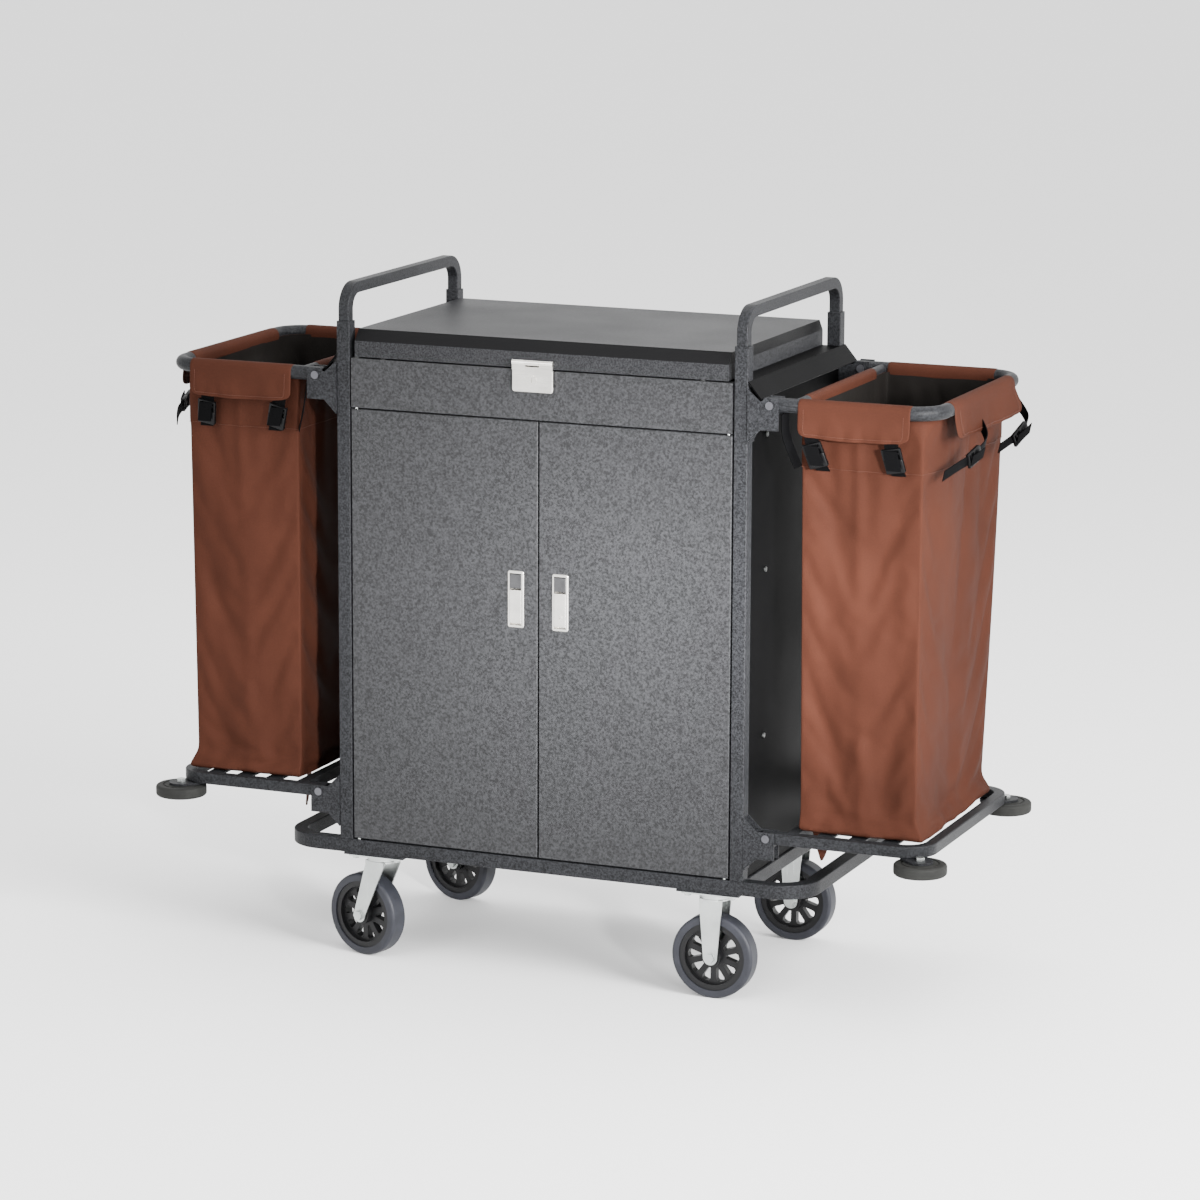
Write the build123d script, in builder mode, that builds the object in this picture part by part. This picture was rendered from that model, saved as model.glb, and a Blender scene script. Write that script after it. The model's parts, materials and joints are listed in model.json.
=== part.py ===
from build123d import *
import os
from math import cos, radians, sin

# Housekeeping cart: a steel cabinet on a bumper rail and casters, with a hinged lid over an
# amenity tray, two locking doors, and a folding bag frame and platform at each end.
# Millimetres. X runs along the cart to its right, Y to its back, Z up, floor at Z = 0.

os.makedirs("parts", exist_ok=True)

# ---- frame of square tube
post_span_x = 746.0  # post centre to post centre along the cart
post_span_y = 462.0  # post centre to post centre front to back
post_size = 25.0
tube_wall = 1.5
tube_corner = 2.0
post_top = 1155.0
rail_bottom = 197.5
rail_size = 25.0
rail_overhang = 130.0  # bumper rail past the post centres at each end
rail_corner = 70.0
drain_r = 3.0

# ---- handle bows
bow_size = 20.0
bow_top = 1221.0
bow_insert = 40.0
bow_bend = 36.0

# ---- cabinet sheet metal
sheet = 1.5
panel_sheet = 2.0
panel_recess = 3.5
running_gap = 3.0  # round the doors, the fascia and the lid
seat_gap = 0.3  # between pieces that seat on each other
door_top = 1001.5
door_depth = 20.0
fascia_top = 1091.5
shelf_heights = (461.0, 755.0)  # screw lines of the shelf angles
angle_size = 25.0
angle_drop = 15.0
angle_inset = 31.0  # from the posts' centres to the shelf angles' ends
tray_floor = 1006.0
tray_top = 1087.0
tray_wall = 1.5
tray_dividers = 2
screw_inset = 60.0  # from the shelf angles' ends to their screws
screw_r = 2.0
screw_head_r = 4.5
screw_head = 2.0
shelf_lip = 18.0
side_cover_drop = 28.0
side_cover_reach = 23.0
side_cover_clear = 2.0  # from the lid's end to the cover's ledge
edge_break = 1.0  # small chamfers and rounds on sheet and cast edges
bite = 1.0  # how far joined bodies of one piece run into each other

# ---- lid
lid_end_gap = 10.5  # from the posts' inner faces to the lid's ends
lid_back_gap = 17.5
lid_lip_top = 1122.0
lid_top = 1142.0
lid_slope = 17.5
hinge_inset = 11.5  # from the back plane to the hinge axis
hinge_z = 1100.0
hinge_r = 4.0
hinge_pin_r = 2.0
hinge_end_gap = 50.0  # from the lid's ends to the hinge's
hinge_knuckles = 5
hinge_leaf = 2.0
hinge_base_drop = 45.5  # from the hinge axis to the fixed leaf's lower edge
lid_bumper_r = 6.0
lid_bumper_inset = 50.0
fit = 0.05  # radial running fit of pins and shafts

# ---- hasp lock on the lid
hasp_x = -8.0
hasp_width = 76.0
hasp_bottom = 1053.5
hasp_top = 1098.0
hasp_thick = 6.0
hasp_off = 3.0
hasp_corner = 5.0
hasp_knuckle_drop = 6.0
hasp_knuckle_bite = 2.0
barrel_r = 5.0
barrel_z = 1104.5
barrel_middle = 26.0
plug_r = 8.0
plug_z = 1075.0
plug_proud = 1.5
keyway = (1.6, 8.0, 2.5)
strike_margin = (8.0, 4.0)  # of the strike round the plug, across and up
strike_corner = 3.0

# ---- doors and their flush locks
pin_inset = 8.0
pin_depth = 6.0
door_pin_r = 3.0
door_pin_length = 15.0
hinge_block = (14.0, 15.0, 16.0)
lock_x = 42.0
lock_z = 686.5
bezel_width = 30.4
bezel_height = 101.0
bezel_proud = 2.0
bezel_body_depth = 12.0
bezel_rim = 2.2
bezel_corner = 4.0
pocket_width = 22.6
pocket_height = 92.0
pocket_depth = 10.0
button_bottom = 706.0
button_top = 731.0
button_proud = 3.5
paddle_bottom = 644.0
paddle_top = 703.0
paddle_thick = 7.0
paddle_proud = 3.0
paddle_pivot_z = 650.0
paddle_pivot_r = 2.0
paddle_pivot_inset = 1.0
door_plug_r = 4.5
door_plug_z = 661.0
door_plug_proud = 0.6
door_keyway = (1.2, 5.0, 2.0)

# ---- casters
wheel_r = 75.0
wheel_width = 36.0
rim_r = 61.0
rim_inner_r = 51.0
rim_width = 31.0
hub_r = 17.0
hub_proud = 2.0  # of the tyre's sides
web_width = 14.0
spokes = 10
window = ((23, -2), (42, -8), (46, -6.5), (48, 0), (46, 6.5), (42, 8), (23, 2))  # between two spokes
tyre_round = 6.0
axle_r = 5.0
axle_nut_r = 9.0
axle_nut = 6.0
caster_inset_x = 53.0  # from the posts' centres to the caster stems
caster_inset_y = 28.0
caster_trail = 36.0
trail_turn = 165.0  # way the left casters trail, degrees from +X
mount_plate = (116.0, 80.0, 4.0)
caster_plate = (104.0, 76.0, 3.0)
caster_plate_corner = 8.0
bolt_span_x = 82.0
bolt_span_y = 54.0
bolt_r = 4.0
bolt_head_r = 6.5
bolt_head = 5.0
swivel_r = 28.0
swivel_height = 10.0
fork_leg = 3.0
fork_gap = 1.5
fork_top_z = 172.0
fork_leg_width = 42.0
fork_foot_r = 13.0
fork_corner = 3.0

# ---- brackets that carry the folding ends
ear = 3.0
bracket_reach = 56.5  # from the post's outer face to the ears' end
web_reach = 23.5
upper_pin_reach = 40.5  # from the posts' outer faces, as are all reaches below
upper_pin_z = 1058.0
lower_pin_reach = 41.5
lower_pin_z = 304.0
bracket_pin_r = 4.0
pin_head_r = 7.0
pin_head = 2.5
ear_gap = 0.5
frame_tail_reach = 29.5
deck_tail_reach = 32.5
upper_ear = ((22.5, 6.5), (26.5, 6.5), (30.5, 13.0), (bracket_reach, 13.0))  # ears' top edge
upper_ear_foot = (-67.0, -43.0, -18.0)  # at the post, under the outer ear and the inner ear
lower_ear_top = (34.0, 11.0)  # at the post and past the web
lower_ear_foot = (-60.0, -38.0)
upper_ear_head = 26.0
rest_lip = (5.5, 3.0)  # the ledge that a platform arm lies on: reach and thickness

# ---- folding bag frame
frame_r = 12.5
frame_end_reach = 329.5
frame_bend = 50.0
crossbar_reach = 78.5
crossbar_r = 9.0

# ---- folding platform
deck_tube = 20.0
deck_end_reach = 322.5
deck_bend = 45.0
deck_bar_reach = 84.5
slat_width = 30.0
slat_thick = 3.0
slat_count = 3
slat_pitch = 58.0
lug_r = 22.0
lug_thick = 4.0

# ---- bumper discs
disc_reach = 320.5
disc_past_post = 9.0  # past the posts' centres, front and rear
disc_r = 46.0
disc_thick = 20.0
disc_edge = 5.0
disc_ribs = (18.0, 25.0, 32.0)
rib_groove = 1.5
disc_bolt_r = 5.0
disc_bolt_head_r = 8.0
disc_bolt_head = 6.0

# ---- bags
bag_wall = 3.0
bag_clear = 1.0
bag_corner = 56.0
bag_inner_corner = 14.0
flap_thick = 2.5
flap_drop = 62.0
flap_clear = 0.5

# ---- sizes that follow
rail_top = rail_bottom + rail_size
post_x = post_span_x / 2
post_y = post_span_y / 2
post_half = post_size / 2
post_bore = bow_size + 2 * seat_gap  # the bow's leg slides down inside the post
front = -(post_y + post_half)  # plane of the posts' front faces
back = post_y + post_half
post_out = post_x + post_half
post_in_x = post_x - post_half
post_in_y = post_y - post_half
door_bottom = rail_top + running_gap
door_out = post_in_x - running_gap
door_pin_x = door_out - pin_inset
door_pin_y = front + pin_depth
door_back = front + door_depth
fascia_bottom = door_top + running_gap
lid_bottom = fascia_top + running_gap
panel_out = post_out - panel_recess
panel_in = panel_out - panel_sheet
angle_length = 2 * (post_y - angle_inset)
screw_pitch = angle_length - 2 * screw_inset
lid_length = 2 * (post_in_x - lid_end_gap)
lid_back = back - lid_back_gap
hinge_y = back - hinge_inset
hinge_length = lid_length - 2 * hinge_end_gap
hub_width = wheel_width + 2 * hub_proud
caster_x = post_x - caster_inset_x
caster_y = post_y - caster_inset_y
upper_pin_x = post_out + upper_pin_reach
lower_pin_x = post_out + lower_pin_reach
frame_tail_x = post_out + frame_tail_reach
deck_tail_x = post_out + deck_tail_reach
frame_end_x = post_out + frame_end_reach
crossbar_x = post_out + crossbar_reach
deck_end_x = post_out + deck_end_reach
deck_bar_x = post_out + deck_bar_reach
disc_x = post_out + disc_reach
disc_y = post_y + disc_past_post
both_sides = (-1, 1)


def save(piece, name):
    piece.part.label = name
    export_step(piece.part, f"parts/{name}.step")


def save_group(pieces, name):
    """One node that holds several separate pieces of the same body."""
    solids = [solid for piece in pieces for solid in piece.part.solids()]
    export_step(Compound(label=name, children=solids), f"parts/{name}.step")


def box_between(low, high, mode=Mode.ADD):
    """A box from its lowest to its highest corner, in either order on each axis."""
    size = [abs(b - a) for a, b in zip(low, high)]
    middle = [(a + b) / 2 for a, b in zip(low, high)]
    with Locations(tuple(middle)):
        Box(*size, mode=mode)


def rod(start, axis_rotation, radius, length, mode=Mode.ADD):
    """A cylinder from start; rotation (0,0,0) runs it up Z, (-90,0,0) along +Y, (0,90,0) along +X."""
    with Locations(Location(start, axis_rotation)):
        Cylinder(radius, length, align=(Align.CENTER, Align.CENTER, Align.MIN), mode=mode)


ALONG_X = (0, 90, 0)
ALONG_Y = (-90, 0, 0)
ALONG_Z = (0, 0, 0)


# ================================================================ frame
with BuildPart() as posts:
    with BuildSketch(Plane.XY.offset(rail_top)):
        with GridLocations(post_span_x, post_span_y, 2, 2):
            RectangleRounded(post_size, post_size, tube_corner)
            Rectangle(post_bore, post_bore, mode=Mode.SUBTRACT)
    extrude(amount=post_top - rail_top)
save(posts, "corner_posts")

with BuildPart() as bows:
    for side in both_sides:
        foot = post_top - bow_insert
        crown = bow_top - bow_size / 2
        with BuildLine() as bow_path:
            FilletPolyline(
                (side * post_x, -post_y, foot),
                (side * post_x, -post_y, crown),
                (side * post_x, post_y, crown),
                (side * post_x, post_y, foot),
                radius=bow_bend,
            )
        with BuildSketch(Plane((side * post_x, -post_y, foot))):
            RectangleRounded(bow_size, bow_size, tube_corner)
            Rectangle(bow_size - 2 * tube_wall, bow_size - 2 * tube_wall, mode=Mode.SUBTRACT)
        sweep(path=bow_path.line)
save(bows, "handle_bows")

rail_length = 2 * (post_x + rail_overhang)
rail_width = 2 * back
with BuildPart() as rail:
    with BuildSketch(Plane.XY.offset(rail_bottom)):
        RectangleRounded(rail_length, rail_width, rail_corner)
        RectangleRounded(
            rail_length - 2 * rail_size,
            rail_width - 2 * rail_size,
            rail_corner - rail_size,
            mode=Mode.SUBTRACT,
        )
    extrude(amount=rail_size)
    fillet(rail.edges().group_by(Axis.Z)[-1] + rail.edges().group_by(Axis.Z)[0], tube_corner)
    with BuildSketch(Plane.XY.offset(rail_bottom + tube_wall)):
        RectangleRounded(
            rail_length - 2 * tube_wall, rail_width - 2 * tube_wall, rail_corner - tube_wall
        )
        RectangleRounded(
            rail_length - 2 * (rail_size - tube_wall),
            rail_width - 2 * (rail_size - tube_wall),
            rail_corner - rail_size + tube_wall,
            mode=Mode.SUBTRACT,
        )
    extrude(amount=rail_size - 2 * tube_wall, mode=Mode.SUBTRACT)
    with Locations((0, 0, rail_bottom)):
        with GridLocations(rail_length - rail_size, 0, 2, 1):
            Cylinder(drain_r, 4 * tube_wall, mode=Mode.SUBTRACT)
bend_x = rail_length / 2 - rail_corner
bend_y = rail_width / 2 - rail_corner
rail_tubes = []  # two long tubes, two end tubes and four elbows, butt welded
for side in both_sides:
    stretches = [((bend_x, side * bend_y), (-bend_x, side * back))]
    stretches += [((side * bend_x, -bend_y), (side * rail_length / 2, bend_y))]
    stretches += [
        ((side * bend_x, end * bend_y), (side * rail_length / 2, end * back)) for end in both_sides
    ]
    for low, high in stretches:
        with BuildPart() as rail_tube:
            add(rail.part)
            box_between((*low, rail_bottom), (*high, rail_top), Mode.INTERSECT)
        rail_tubes.append(rail_tube)
save_group(rail_tubes, "bumper_rail")

with BuildPart() as members:
    for side in both_sides:
        with BuildSketch(Plane((side * post_x, -post_in_y, rail_bottom + rail_size / 2), z_dir=(0, 1, 0))):
            RectangleRounded(rail_size, rail_size, tube_corner)
            Rectangle(rail_size - 2 * tube_wall, rail_size - 2 * tube_wall, mode=Mode.SUBTRACT)
        extrude(amount=2 * post_in_y)
plate_x, plate_y, plate_z = mount_plate
with BuildPart() as mount_plates:
    with BuildSketch(Plane.XY.offset(rail_bottom)):
        with GridLocations(2 * caster_x, 2 * caster_y, 2, 2):
            Rectangle(plate_x, plate_y)
            with GridLocations(bolt_span_x, bolt_span_y, 2, 2):
                Circle(bolt_r, mode=Mode.SUBTRACT)
    extrude(amount=-plate_z)
save_group([members, mount_plates], "cross_members")

# ================================================================ cabinet
with BuildPart() as floor_panel:
    floor_front = door_back + running_gap
    floor_back = back - panel_recess - panel_sheet - seat_gap
    side_reach = panel_in - seat_gap
    box_between(
        (-(post_in_x - seat_gap), floor_front, rail_top),
        (post_in_x - seat_gap, floor_back, rail_top + panel_sheet),
    )
    box_between(
        (-side_reach, -(post_in_y - seat_gap), rail_top),
        (side_reach, post_in_y - seat_gap, rail_top + panel_sheet),
    )
save(floor_panel, "floor_panel")

panel_top = lid_bottom
with BuildPart() as back_panel:
    box_between(
        (-(post_in_x - seat_gap), back - panel_recess - panel_sheet, rail_top),
        (post_in_x - seat_gap, back - panel_recess, panel_top - running_gap),
    )
save(back_panel, "back_panel")

angle_tops = [height + angle_drop for height in shelf_heights] + [tray_floor]
screw_heights = list(shelf_heights) + [tray_floor - angle_drop]
with BuildPart() as side_panels:
    for side in both_sides:
        edge = post_in_y - seat_gap
        box_between((side * panel_in, -edge, rail_top), (side * panel_out, edge, panel_top))
        for end in both_sides:
            box_between(
                (side * (panel_in - angle_size / 2), end * edge, rail_top + panel_sheet + seat_gap),
                (side * panel_in, end * (edge - sheet), panel_top),
            )
        for height in screw_heights:
            for end in both_sides:
                rod((side * panel_in, end * screw_pitch / 2, height), (0, 90 * side, 0),
                    screw_r, panel_sheet, Mode.SUBTRACT)
save(side_panels, "side_panels")

with BuildPart() as angles:
    for side in both_sides:
        for top in angle_tops:
            half = angle_length / 2
            box_between(
                (side * panel_in, -half, top - 2 * angle_drop),
                (side * (panel_in - sheet), half, top),
            )
            box_between(
                (side * panel_in, -half, top - sheet),
                (side * (panel_in - angle_size), half, top),
            )
            for end in both_sides:
                rod((side * (panel_in - sheet), end * screw_pitch / 2, top - angle_drop),
                    (0, 90 * side, 0), screw_r, sheet, Mode.SUBTRACT)
save(angles, "support_angles")

with BuildPart() as screws:
    for side in both_sides:
        for height in screw_heights:
            for end in both_sides:
                seat = (side * panel_out, end * screw_pitch / 2, height)
                rod(seat, (0, -90 * side, 0), screw_r, panel_sheet + 2 * sheet)
                rod(seat, (0, 90 * side, 0), screw_head_r, screw_head)
save(screws, "panel_screws")

with BuildPart() as shelves:
    for height in shelf_heights:
        seat = height + angle_drop
        reach = panel_in - sheet - seat_gap
        lip_reach = panel_in - angle_size - running_gap
        half = angle_length / 2 + running_gap
        box_between((-reach, -half, seat), (reach, half, seat + sheet))
        for end in both_sides:
            box_between(
                (-lip_reach, end * half, seat - shelf_lip),
                (lip_reach, end * (half - sheet), seat),
            )
save(shelves, "shelves")

with BuildPart() as tray:
    reach = panel_in - angle_size / 2 - running_gap
    half = post_in_y - running_gap
    box_between((-reach, -half, tray_floor), (reach, half, tray_top))
    box_between(
        (-reach + tray_wall, -half + tray_wall, tray_floor + tray_wall),
        (reach - tray_wall, half - tray_wall, tray_top),
        Mode.SUBTRACT,
    )
    bay = 2 * reach / (tray_dividers + 1)
    for number in range(1, tray_dividers + 1):
        middle = -reach + number * bay
        box_between(
            (middle - tray_wall / 2, -half + tray_wall, tray_floor + tray_wall),
            (middle + tray_wall / 2, half - tray_wall, tray_top - running_gap),
        )
save(tray, "amenity_tray")

with BuildPart() as fascia:
    box_between((-door_out, front, fascia_bottom), (door_out, door_back, fascia_top))
    box_between(
        (-door_out + sheet, front + sheet, fascia_bottom + sheet),
        (door_out - sheet, door_back, fascia_top - sheet),
        Mode.SUBTRACT,
    )
    for side in both_sides:
        box_between(
            (side * (door_out - sheet), door_back - sheet, fascia_bottom),
            (side * post_in_x, door_back, fascia_top),
        )
save(fascia, "front_fascia")

cover_edge = lid_length / 2 + side_cover_clear
with BuildPart() as covers:
    for side in both_sides:
        edge = post_in_y - seat_gap
        box_between(
            (side * cover_edge, -edge, panel_top), (side * (post_out + sheet), edge, panel_top + sheet)
        )
        tip = post_out + side_cover_reach
        with BuildSketch(Plane.XZ.offset(-back)):
            with BuildLine():
                Polyline(
                    (side * post_out, panel_top),
                    (side * post_out, panel_top + sheet),
                    (side * (post_out + sheet), panel_top + sheet),
                    (side * (tip + sheet), panel_top + sheet - side_cover_drop),
                    (side * tip, panel_top - side_cover_drop),
                    close=True,
                )
            make_face()
        extrude(amount=2 * back)
save(covers, "side_covers")

# ================================================================ lid and its hinge
with BuildPart() as lid:
    with BuildSketch(Plane.YZ.offset(-lid_length / 2)):
        with BuildLine():
            Polyline(
                (front, lid_bottom),
                (front, lid_lip_top),
                (front + lid_slope, lid_top),
                (lid_back - lid_slope, lid_top),
                (lid_back, lid_lip_top),
                (lid_back, lid_bottom),
                close=True,
            )
        make_face()
    extrude(amount=lid_length)
    offset(amount=-sheet, openings=lid.faces().sort_by(Axis.Z)[0])
save(lid, "lid_shell")

knuckle = hinge_length / hinge_knuckles


def hinge_half(first, leaf_y, leaf_low, leaf_high, hole_r):
    """A leaf with every second knuckle of the lid's hinge, from knuckle number first."""
    low_y, high_y = sorted((leaf_y, leaf_y + (hinge_leaf if leaf_y > hinge_y else -hinge_leaf)))
    box_between((-hinge_length / 2, low_y, leaf_low), (hinge_length / 2, high_y, leaf_high))
    for number in range(hinge_knuckles):
        start = -hinge_length / 2 + number * knuckle + seat_gap / 2
        length = knuckle - seat_gap
        if number % 2 == first:
            box_between(
                (start, hinge_y, hinge_z - hinge_r / 2), (start + length, leaf_y, hinge_z + hinge_r / 2)
            )
            rod((start, hinge_y, hinge_z), ALONG_X, hinge_r, length)
            rod((start, hinge_y, hinge_z), ALONG_X, hole_r, length, Mode.SUBTRACT)


with BuildPart() as hinge_base:
    hinge_half(0, hinge_y + hinge_r, hinge_z - hinge_base_drop, hinge_z + hinge_r / 2, hinge_pin_r)
with BuildPart() as hinge_pin:
    rod((-hinge_length / 2, hinge_y, hinge_z), ALONG_X, hinge_pin_r, hinge_length)
save_group([hinge_base, hinge_pin], "lid_hinge_base")

with BuildPart() as hinge_leaf_part:
    hinge_half(1, hinge_y - hinge_r, hinge_z - hinge_r, lid_lip_top - running_gap, hinge_pin_r + fit)
save(hinge_leaf_part, "lid_hinge_leaf")

with BuildPart() as lid_bumpers:
    with Locations((0, (front + door_back) / 2, fascia_top)):
        with GridLocations(lid_length - 2 * lid_bumper_inset, 0, 2, 1):
            Cylinder(
                lid_bumper_r, running_gap + sheet - seat_gap, align=(Align.CENTER, Align.CENTER, Align.MIN)
            )
save(lid_bumpers, "lid_bumpers")

# ================================================================ hasp lock
barrel_y = front - barrel_r - edge_break
hasp_left = hasp_x - hasp_width / 2
hasp_right = hasp_x + hasp_width / 2
with BuildPart() as hasp_mount:
    left = hasp_x - barrel_middle / 2 + seat_gap
    rod((left, barrel_y, barrel_z), ALONG_X, barrel_r, barrel_middle - 2 * seat_gap)
    box_between(
        (left, barrel_y, barrel_z - barrel_r + bite),
        (hasp_x + barrel_middle / 2 - seat_gap, front, barrel_z + barrel_r - bite),
    )
    rod((hasp_left, barrel_y, barrel_z), ALONG_X, hinge_pin_r, hasp_width)
save(hasp_mount, "hasp_mount")

plate_back = front - hasp_off
with BuildPart() as hasp:
    box_between((hasp_left, plate_back, hasp_bottom), (hasp_right, plate_back - hasp_thick, hasp_top))
    fillet(hasp.edges().filter_by(Axis.Y), hasp_corner)
    chamfer(hasp.faces().sort_by(Axis.Y)[0].edges(), edge_break)
    for side in both_sides:
        inner = hasp_x + side * barrel_middle / 2
        outer = hasp_x + side * hasp_width / 2
        start = min(inner, outer)
        length = abs(outer - inner)
        box_between(
            (inner, barrel_y + barrel_r - hasp_knuckle_bite, hasp_top - hasp_knuckle_drop),
            (outer, barrel_y - barrel_r + hasp_knuckle_bite, barrel_z),
        )
        rod((start, barrel_y, barrel_z), ALONG_X, barrel_r, length)
        rod((start, barrel_y, barrel_z), ALONG_X, hinge_pin_r + fit, length, Mode.SUBTRACT)
    rod((hasp_x, plate_back - hasp_thick, plug_z), ALONG_Y, plug_r + fit, hasp_thick, Mode.SUBTRACT)
save(hasp, "hasp_plate")


def key_plug(centre, radius, depth, slot):
    """A round lock plug along +Y from its face, with its keyway cut in."""
    rod(centre, ALONG_Y, radius, depth)
    width, height, cut = slot
    x, y, z = centre
    box_between(
        (x - width / 2, y, z - height / 2), (x + width / 2, y + cut, z + height / 2), Mode.SUBTRACT
    )


with BuildPart() as lid_plug:
    key_plug((hasp_x, plate_back - hasp_thick - plug_proud, plug_z), plug_r, hasp_thick + plug_proud, keyway)
save(lid_plug, "lid_key_plug")

with BuildPart() as strike:
    across = plug_r + strike_margin[0]
    up = plug_r + strike_margin[1]
    box_between(
        (hasp_x - across, front, plug_z - up), (hasp_x + across, plate_back + seat_gap, plug_z + up)
    )
    fillet(strike.edges().filter_by(Axis.Y), strike_corner)
save(strike, "hasp_strike")

# ================================================================ doors
block_x, block_y, block_z = hinge_block
paddle_pivot_y = front + paddle_pivot_inset
for side, word in ((-1, "left"), (1, "right")):
    meeting = side * running_gap / 2
    with BuildPart() as door:
        box_between((meeting, front, door_bottom), (side * door_out, door_back, door_top))
        chamfer(door.faces().sort_by(Axis.Y)[0].edges(), edge_break)
        box_between(
            (meeting + side * sheet, front + sheet, door_bottom + sheet),
            (side * (door_out - sheet), door_back, door_top - sheet),
            Mode.SUBTRACT,
        )
        for low, high in (
            (door_bottom, door_bottom + block_z),
            (door_top - block_z, door_top),
        ):
            box_between(
                (side * (door_out - sheet), front + sheet, low),
                (side * (door_out - sheet - block_x), front + sheet + block_y, high),
            )
        half_x = bezel_width / 2 - bezel_rim
        half_z = bezel_height / 2 - bezel_rim
        box_between(
            (side * lock_x - half_x, front, lock_z - half_z),
            (side * lock_x + half_x, front + sheet, lock_z + half_z),
            Mode.SUBTRACT,
        )
        rod((side * door_pin_x, door_pin_y, door_bottom), ALONG_Z, door_pin_r + fit,
            door_top - door_bottom, Mode.SUBTRACT)
    save(door, f"{word}_door")

    with BuildPart() as bezel:
        face = front - bezel_proud
        box_between(
            (side * lock_x - bezel_width / 2, face, lock_z - bezel_height / 2),
            (side * lock_x + bezel_width / 2, front, lock_z + bezel_height / 2),
        )
        fillet(bezel.edges().filter_by(Axis.Y), bezel_corner)
        chamfer(bezel.faces().sort_by(Axis.Y)[0].edges(), edge_break)
        box_between(
            (side * lock_x - half_x, front, lock_z - half_z),
            (side * lock_x + half_x, front + bezel_body_depth, lock_z + half_z),
        )
        box_between(
            (side * lock_x - pocket_width / 2, face, lock_z - pocket_height / 2),
            (side * lock_x + pocket_width / 2, front + pocket_depth, lock_z + pocket_height / 2),
            Mode.SUBTRACT,
        )
        rod((side * lock_x - bezel_width / 2, paddle_pivot_y, paddle_pivot_z), ALONG_X,
            paddle_pivot_r + fit, bezel_width, Mode.SUBTRACT)
    save(bezel, f"{word}_lock_bezel")

    half = pocket_width / 2 - seat_gap
    with BuildPart() as button:
        box_between(
            (side * lock_x - half, front - button_proud, button_bottom),
            (side * lock_x + half, front + pocket_depth - running_gap - 2 * seat_gap, button_top),
        )
        fillet(button.faces().sort_by(Axis.Y)[0].edges(), edge_break)
    save(button, f"{word}_lock_button")

    with BuildPart() as paddle:
        box_between(
            (side * lock_x - half, front - paddle_proud, paddle_bottom),
            (side * lock_x + half, front - paddle_proud + paddle_thick, paddle_top),
        )
        fillet(paddle.faces().sort_by(Axis.Y)[0].edges(), edge_break)
        rod((side * lock_x - pocket_width / 2 - bite, paddle_pivot_y, paddle_pivot_z), ALONG_X,
            paddle_pivot_r, pocket_width + 2 * bite)
        if side == 1:
            rod((side * lock_x, front - paddle_proud, door_plug_z), ALONG_Y,
                door_plug_r + fit, paddle_thick, Mode.SUBTRACT)
    save(paddle, f"{word}_lock_paddle")

with BuildPart() as door_plug:
    face = front - paddle_proud - door_plug_proud
    key_plug((lock_x, face, door_plug_z), door_plug_r, paddle_thick, door_keyway)
save(door_plug, "door_key_plug")

with BuildPart() as door_pins:
    for side in both_sides:
        rod((side * door_pin_x, door_pin_y, rail_top), ALONG_Z, door_pin_r, door_pin_length)
        rod((side * door_pin_x, door_pin_y, fascia_bottom - door_pin_length), ALONG_Z,
            door_pin_r, door_pin_length)
save(door_pins, "door_hinge_pins")

# ================================================================ casters
plate_bottom = rail_bottom - mount_plate[2] - caster_plate[2]
with BuildPart() as caster_plates:
    with BuildSketch(Plane.XY.offset(plate_bottom)):
        with GridLocations(2 * caster_x, 2 * caster_y, 2, 2):
            RectangleRounded(caster_plate[0], caster_plate[1], caster_plate_corner)
            with GridLocations(bolt_span_x, bolt_span_y, 2, 2):
                Circle(bolt_r, mode=Mode.SUBTRACT)
    extrude(amount=caster_plate[2])
    with BuildSketch(Plane.XY.offset(plate_bottom)):
        with GridLocations(2 * caster_x, 2 * caster_y, 2, 2):
            Circle(swivel_r)
    extrude(amount=-(swivel_height - 2 * seat_gap))
    with BuildSketch(Plane.XY.offset(plate_bottom)):
        with Locations((-caster_x, -caster_y), (-caster_x, caster_y)):
            Circle(axle_r)
    extrude(amount=-(swivel_height + 2 * axle_nut))
save(caster_plates, "caster_plates")

with BuildPart() as caster_bolts:
    with BuildSketch(Plane.XY.offset(plate_bottom)):
        with GridLocations(2 * caster_x, 2 * caster_y, 2, 2):
            with GridLocations(bolt_span_x, bolt_span_y, 2, 2):
                RegularPolygon(bolt_head_r, 6)
    extrude(amount=-bolt_head)
    with BuildSketch(Plane.XY.offset(plate_bottom)):
        with GridLocations(2 * caster_x, 2 * caster_y, 2, 2):
            with GridLocations(bolt_span_x, bolt_span_y, 2, 2):
                Circle(bolt_r)
    extrude(amount=caster_plate[2] + mount_plate[2])
save(caster_bolts, "caster_bolts")

leg_inner = hub_width / 2 + fork_gap
leg_outer = leg_inner + fork_leg
crown_top = plate_bottom - swivel_height


def wheel_plane(x, y, turn):
    """Plane of a wheel: its X runs from the stem towards the axle, its Y up, its normal across."""
    along = Vector(cos(radians(turn)), sin(radians(turn)), 0)
    across = along.cross(Vector(0, 0, 1))
    return Plane(origin=(x, y, 0), x_dir=along, z_dir=across)


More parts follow.
